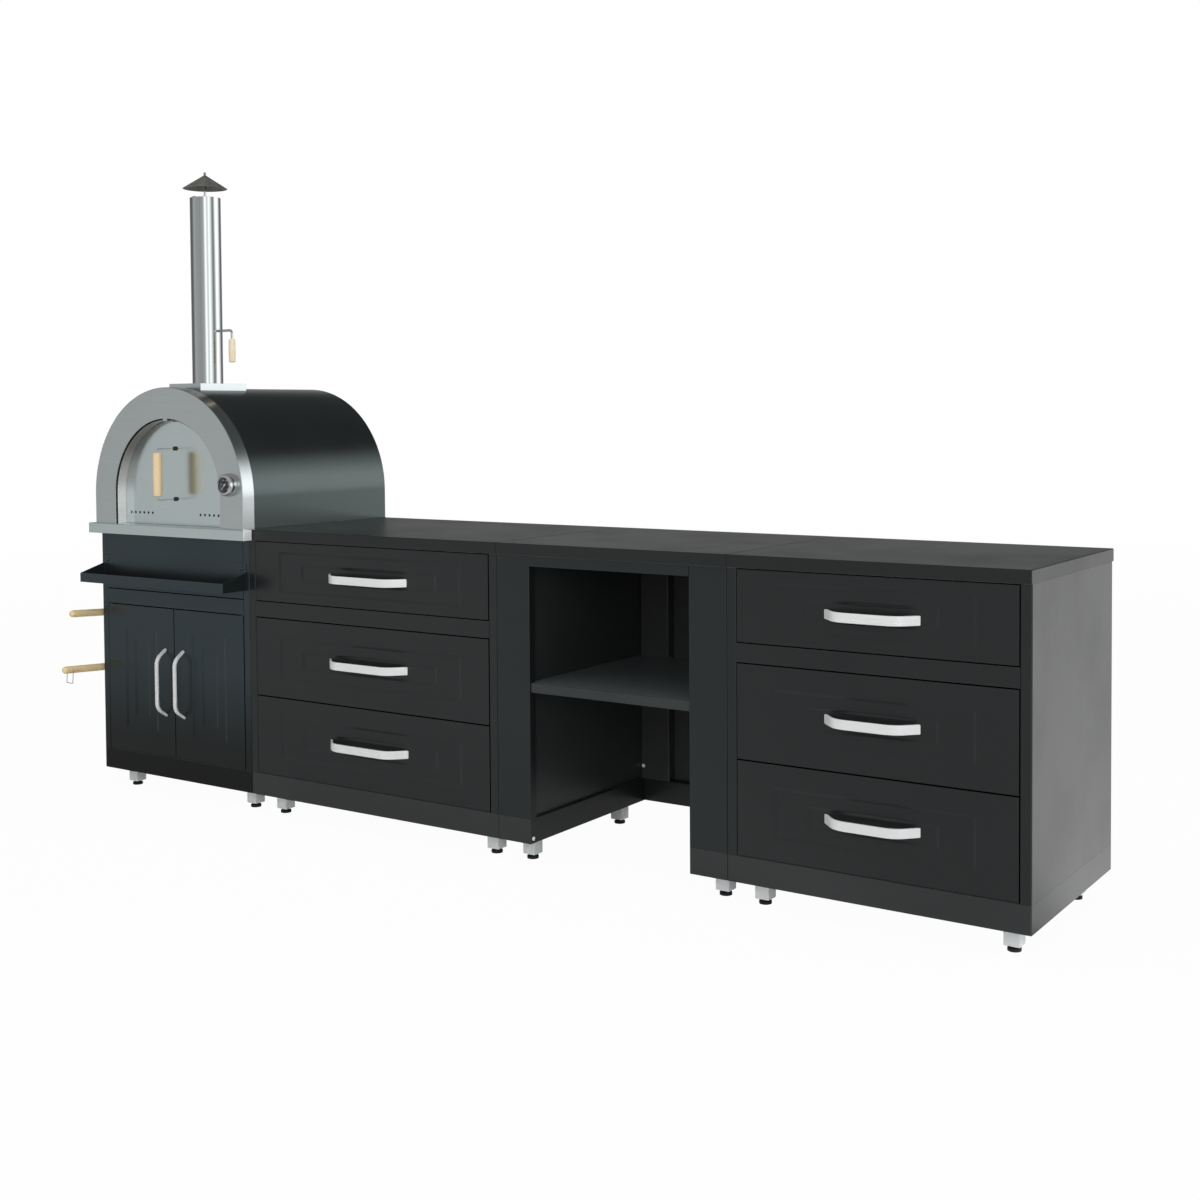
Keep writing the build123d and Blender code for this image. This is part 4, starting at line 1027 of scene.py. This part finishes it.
def makeCup():
    radius, foot, step = gaugeForm["radius"], gaugeForm["foot"], gaugeForm["footStep"]
    rim = window + gaugeForm["rim"]
    stations = [(0, radius - step), (step, radius)]
    for turn in map(math.radians, range(0, 91, 9)):
        stations.append((foot + (gaugeDepth - foot) * math.sin(turn), rim + (radius - rim) * math.cos(turn)))
    across, down = gaugeForm["rimBend"]
    stations += [(gaugeDepth, window + across), (gaugeDepth - down, window), (dialFloor, window)]
    cup = turnedPiece(stations, gaugeForm["sides"])
    outFrom(cup)
    smoothFaces(cup, 45)
    seat(cup, "thermometer_cup", metals["gaugeChrome"], "kitchen", "gauge_chrome", "thermometer_case")


def makeDial():
    lowReach, topReach = dialForm["reach"]
    dial = turnedPiece([(dialFloor, window * lowReach), (dialTop, window * topReach)], gaugeForm["sides"])
    outFrom(dial)
    seat(dial, "thermometer_dial", dialPaint, "kitchen", "gauge_chrome")


def makeTick(index):
    width, length = dialForm["shortTick" if index % dialForm["longEvery"] else "longTick"]
    place = (0, window * dialForm["tickReach"] - length / 2, dialTop)
    tick = newBlock(place, (width, length, dialForm["tickThick"]))
    standAt(tick, (0, 0, 0), (0, 0, -markAngle(index, dialForm["ticks"])))
    return tick


def makeNumber(index, words):
    angle = markAngle(index, len(dialForm["numbers"]))
    reach = window * dialForm["numberReach"]
    number = addPiece(
        bpy.ops.object.text_add, location=(reach * math.sin(angle), reach * math.cos(angle), dialTop))
    setAll(
        number.data, body=words, size=dialForm["numberSize"], align_x="CENTER", align_y="CENTER",
        extrude=dialForm["numberThick"],
    )
    pickOnly(number)
    bpy.ops.object.convert(target="MESH")
    number = bpy.context.object
    applyPlace(number)
    return number


def makeScale():
    marks = [makeTick(index) for index in range(dialForm["ticks"])]
    marks += [makeNumber(index, words) for index, words in enumerate(dialForm["numbers"])]
    scale = joinAll(marks)
    outFrom(scale)
    scale.data.materials.clear()
    seat(scale, "thermometer_scale", markPaint, "kitchen", "gauge_chrome")


def makeNeedle():
    needle = newBlock((0, 0, 0), needleForm["size"])
    startEdit(needle)
    chooseFaces(needle, lambda normal: normal.y > 0.9)
    bpy.ops.transform.resize(
        value=(needleForm["tipShare"], 1, 1), center_override=(0, needleForm["size"][1] / 2, 0))
    endEdit()
    standAt(needle, (0, needleForm["ahead"], 0))
    joinAll([needle, turnedPiece(needleForm["hub"], needleForm["hubSides"])])
    standAt(needle, (0, 0, 0), (0, 0, -math.radians(gaugeForm["start"])))
    low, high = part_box("thermometer_needle")
    standAt(needle, (gaugeAt.x, (low.y + high.y) / 2, gaugeAt.z), (math.pi / 2, 0, 0))
    smoothFaces(needle)
    seat(needle, "thermometer_pointer", needlePaint, "gauge_needle", "needle_paint", "thermometer_needle")


def makeLens():
    radius = window * lensForm["reach"]
    edge = gaugeDepth - lensForm["edge"]
    stations = [(gaugeDepth - lensForm["back"], radius), (edge, radius)]
    stations += [(edge + lensForm["dome"] * (1 - share**2), radius * share) for share in lensForm["shares"]]
    lens = turnedPiece(stations, gaugeForm["sides"])
    outFrom(lens)
    smoothFaces(lens)
    seat(lens, "thermometer_glass", gaugeGlass, "kitchen", "gauge_glass", "thermometer_lens")


makeCup()
makeDial()
makeScale()
makeNeedle()
makeLens()
print("thermometer made")


# Pan-head screws, modelled once and copied, and the hinge pins

screwForm = {
    "radius": 0.006, "height": 0.003, "slot": (0.0066, 0.0013, 0.0016), "footStep": (0.0005, 0.0004), "brim": 0.0008,
    "crown": (0.35, 0.6, 0.8, 0.95), "crownTurn": 0.8, "sides": 28,
}


def makeScrew():
    radius, height, brim = screwForm["radius"], screwForm["height"], screwForm["brim"]
    rise, step = screwForm["footStep"]
    stations = [(0, radius - step), (rise, radius)]
    for turn in (share * math.pi / 2 for share in screwForm["crown"]):
        stations.append((
            brim + (height - brim) * math.sin(turn), radius * math.cos(turn * screwForm["crownTurn"])))
    head = turnedPiece(stations, screwForm["sides"])
    long, wide, deep = screwForm["slot"]
    for across in ((long, wide), (wide, long)):
        cutter = newBlock((0, 0, height), (*across, 2 * deep))
        applyModifier(head, "crossSlot", "BOOLEAN", object=cutter, operation="DIFFERENCE", solver="EXACT")
        bpy.data.objects.remove(cutter)
    head.data.materials.clear()
    smoothFaces(head, 35)
    return head


screwHead = makeScrew()
trayScrew = {"inset": 0.020, "below": 0.016, "sheet": 0.002}
bayScrew = {"post": 0.112, "recess": 0.012, "rearPostDepth": 0.035, "height": 0.173, "inset": 0.0085}
skirtScrew = {"setback": 0.0125, "height": 0.0805}
trayLow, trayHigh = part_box("utensil_tray")
bayLow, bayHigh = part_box("bay_frame")
trayFront, trayLine = rowFront - trayScrew["sheet"], trayHigh.z - trayScrew["below"]
rearPostFront = bayHigh.y - bayScrew["rearPostDepth"]
skirtInner, skirtFar = bayLow.x + bayScrew["post"], bayHigh.x - bayScrew["post"]
wallInner, wallFar = skirtInner - bayScrew["recess"], skirtFar + bayScrew["recess"]
skirtFront = rowFront + skirtScrew["setback"]
outward = (math.pi / 2, 0, 0)  # head faces the front
toRight = (0, math.pi / 2, 0)
toLeft = (0, -math.pi / 2, 0)
screwPlaces = (
    ("tray_screw_left", (trayLow.x + trayScrew["inset"], trayFront, trayLine), outward),
    ("tray_screw_right", (trayHigh.x - trayScrew["inset"], trayFront, trayLine), outward),
    ("bay_screw_left", (wallInner + bayScrew["inset"], rearPostFront, bayScrew["height"]), outward),
    ("bay_screw_right", (wallFar - bayScrew["inset"], rearPostFront, bayScrew["height"]), outward),
    ("skirt_screw_left", (skirtInner, skirtFront, skirtScrew["height"]), toRight),
    ("skirt_screw_right", (skirtFar, skirtFront, skirtScrew["height"]), toLeft),
)
for name, place, turn in screwPlaces:
    onTray = "tray" in name
    copy = bpy.data.objects.new(name, screwHead.data.copy())
    bpy.context.scene.collection.objects.link(copy)
    standAt(copy, place, turn)
    finish = metals["screwZinc" if onTray else "brightZinc"]
    seat(copy, name, finish, "kitchen", "stainless", *(["pins_and_screws"] if onTray else []))
bpy.data.objects.remove(screwHead)

pinForm = {
    "radius": 0.003, "inset": 0.039, "setback": 0.0055, "engage": 0.010, "stile": 0.030, "bend": 0.0008, "sides": 20,
}
doorLow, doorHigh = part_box("left_cabinet_door")
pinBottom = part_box("pins_and_screws")[0].z
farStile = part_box("right_cabinet_door")[1].x + pinForm["stile"]


def hingePin(name, acrossAt, bottom, top):
    radius, bend = pinForm["radius"], pinForm["bend"]
    stations = quarterRound(0, radius, bend, False, 3) + quarterRound(top - bottom, radius, bend, True, 3)
    pin = turnedPiece(stations, pinForm["sides"])
    standAt(pin, (acrossAt, rowFront + pinForm["setback"], bottom))
    smoothFaces(pin, 50)
    seat(pin, name, metals["wireSteel"], "kitchen", "stainless", "pins_and_screws")


for side, acrossAt in (("left", rowLeft + pinForm["inset"]), ("right", farStile - pinForm["inset"])):
    hingePin(f"hinge_pin_{side}_low", acrossAt, pinBottom, doorLow.z + pinForm["engage"])
    hingePin(
        f"hinge_pin_{side}_high", acrossAt, doorHigh.z - pinForm["engage"], doorHigh.z + doorLow.z - pinBottom)
print("screws and pins placed")


# Camera at the photograph's viewing angle

cameraFit = {
    "place": (2.78425, -3.71462, 1.265), "lens": 47.19, "sensor": 36, "shift": (0.00075, -0.112),
    "yaw": 33.95, "pitch": 2.01, "roll": 0.40, "farthest": 200,
}


def makeCamera():
    camera = addPiece(bpy.ops.object.camera_add, location=cameraFit["place"])
    turn = (
        Matrix.Rotation(math.radians(cameraFit["yaw"]), 4, "Z")
        @ Matrix.Rotation(math.radians(90 - cameraFit["pitch"]), 4, "X")
        @ Matrix.Rotation(math.radians(-cameraFit["roll"]), 4, "Z")
    )
    camera.rotation_euler = turn.to_euler()
    setAll(camera.data, sensor_width=cameraFit["sensor"], lens=cameraFit["lens"], clip_end=cameraFit["farthest"])
    camera.data.shift_x, camera.data.shift_y = cameraFit["shift"]
    bpy.context.scene.camera = camera


makeCamera()


# Floor, studio surroundings and lamps

floorLook = {"half": 40.0, "near": (3.0, 0.97), "far": (14.0, 1.0), "colour": (0.92, 0.92, 0.92, 1)}
lampLook = {
    "overhead": {"place": (0.3, -0.8, 3.6), "aim": (0, 0, 0.6), "size": (4.5, 3.0), "power": 46},
    "front": {"place": (1.7, -4.4, 2.2), "aim": (-0.1, 0, 0.6), "size": (3.0, 2.2), "power": 56},
    "right": {"place": (4.4, 1.8, 1.7), "aim": (0.6, 0, 0.7), "size": (2.4, 2.4), "power": 36},
}


def viewRays(tree):
    path = addNode(tree, "LightPath").outputs
    return path, calc(tree, "MAXIMUM", path["Is Camera Ray"], path["Is Transmission Ray"])


def makeStudio():
    world = bpy.data.worlds.new("paleStudio")
    bpy.context.scene.world = world
    world.use_nodes = True
    tree = world.node_tree
    plain = viewRays(tree)[1]
    towards = addNode(tree, "TexCoord").outputs["Generated"]
    axes = axesOf(tree, towards)
    around = placed(tree, wallRound, towards)["Colour"]
    up = rising(tree, axes["Z"], *studioLook["ceilingRise"])
    behind = rising(tree, axes["Y"], *studioLook["backRise"])
    ceiling = mixed(tree, behind, studioLook["frontCeiling"], studioLook["backCeiling"])
    room = mixed(tree, up, around, ceiling)
    background = tree.nodes["Background"].inputs
    feed(mixed(tree, plain, room, (1, 1, 1, 1)), background["Color"])
    background["Strength"].default_value = 1.0


def makeFloor():
    # pale, with the object's shadow: whiter with distance, and as bright as the studio in gloss and metal
    floor = addPiece(bpy.ops.mesh.primitive_plane_add, size=2 * floorLook["half"])
    floor.name = "floor"
    material = bpy.data.materials.new("paleFloor")
    material.use_nodes = True
    tree = material.node_tree
    tree.nodes.remove(tree.nodes["Principled BSDF"])
    path, plain = viewRays(tree)
    place = addNode(tree, "TexCoord").outputs["Object"]
    away = addNode(tree, "VectorMath", {0: place}, operation="LENGTH").outputs["Value"]
    (nearAt, nearGlow), (farAt, farGlow) = floorLook["near"], floorLook["far"]
    shade = spread(tree, away, nearGlow, farGlow, nearAt, farAt)
    seen = addNode(tree, "VectorMath", {0: place, 1: studioLook["floorMiddle"]}, operation="SUBTRACT")
    around = placed(tree, floorRound, seen.outputs["Vector"])["Colour"]
    matt = addNode(tree, "BsdfDiffuse", {"Color": floorLook["colour"]})
    glow = addNode(tree, "Emission", {
        "Color": mixed(tree, path["Is Glossy Ray"], (1, 1, 1, 1), around), "Strength": 1.0})
    amount = calc(tree, "MAXIMUM", times(tree, plain, shade), path["Is Glossy Ray"])
    blend = addNode(tree, "MixShader", {0: amount, 1: matt.outputs[0], 2: glow.outputs[0]})
    feed(blend.outputs[0], tree.nodes["Material Output"].inputs["Surface"])
    floor.data.materials.append(material)


def makeLamp(name, look):
    lamp = addPiece(bpy.ops.object.light_add, type="AREA", location=look["place"])
    lamp.name = name
    aim = Vector(look["aim"]) - Vector(look["place"])
    lamp.rotation_euler = aim.to_track_quat("-Z", "Y").to_euler()
    width, height = look["size"]
    setAll(lamp.data, shape="RECTANGLE", size=width, size_y=height, energy=look["power"])
    setAll(lamp, visible_camera=False, visible_glossy=False)


makeStudio()
makeFloor()
for name, look in lampLook.items():
    makeLamp(name + "_lamp", look)
bpy.context.scene.view_settings.view_transform = "Standard"
print("studio set up")
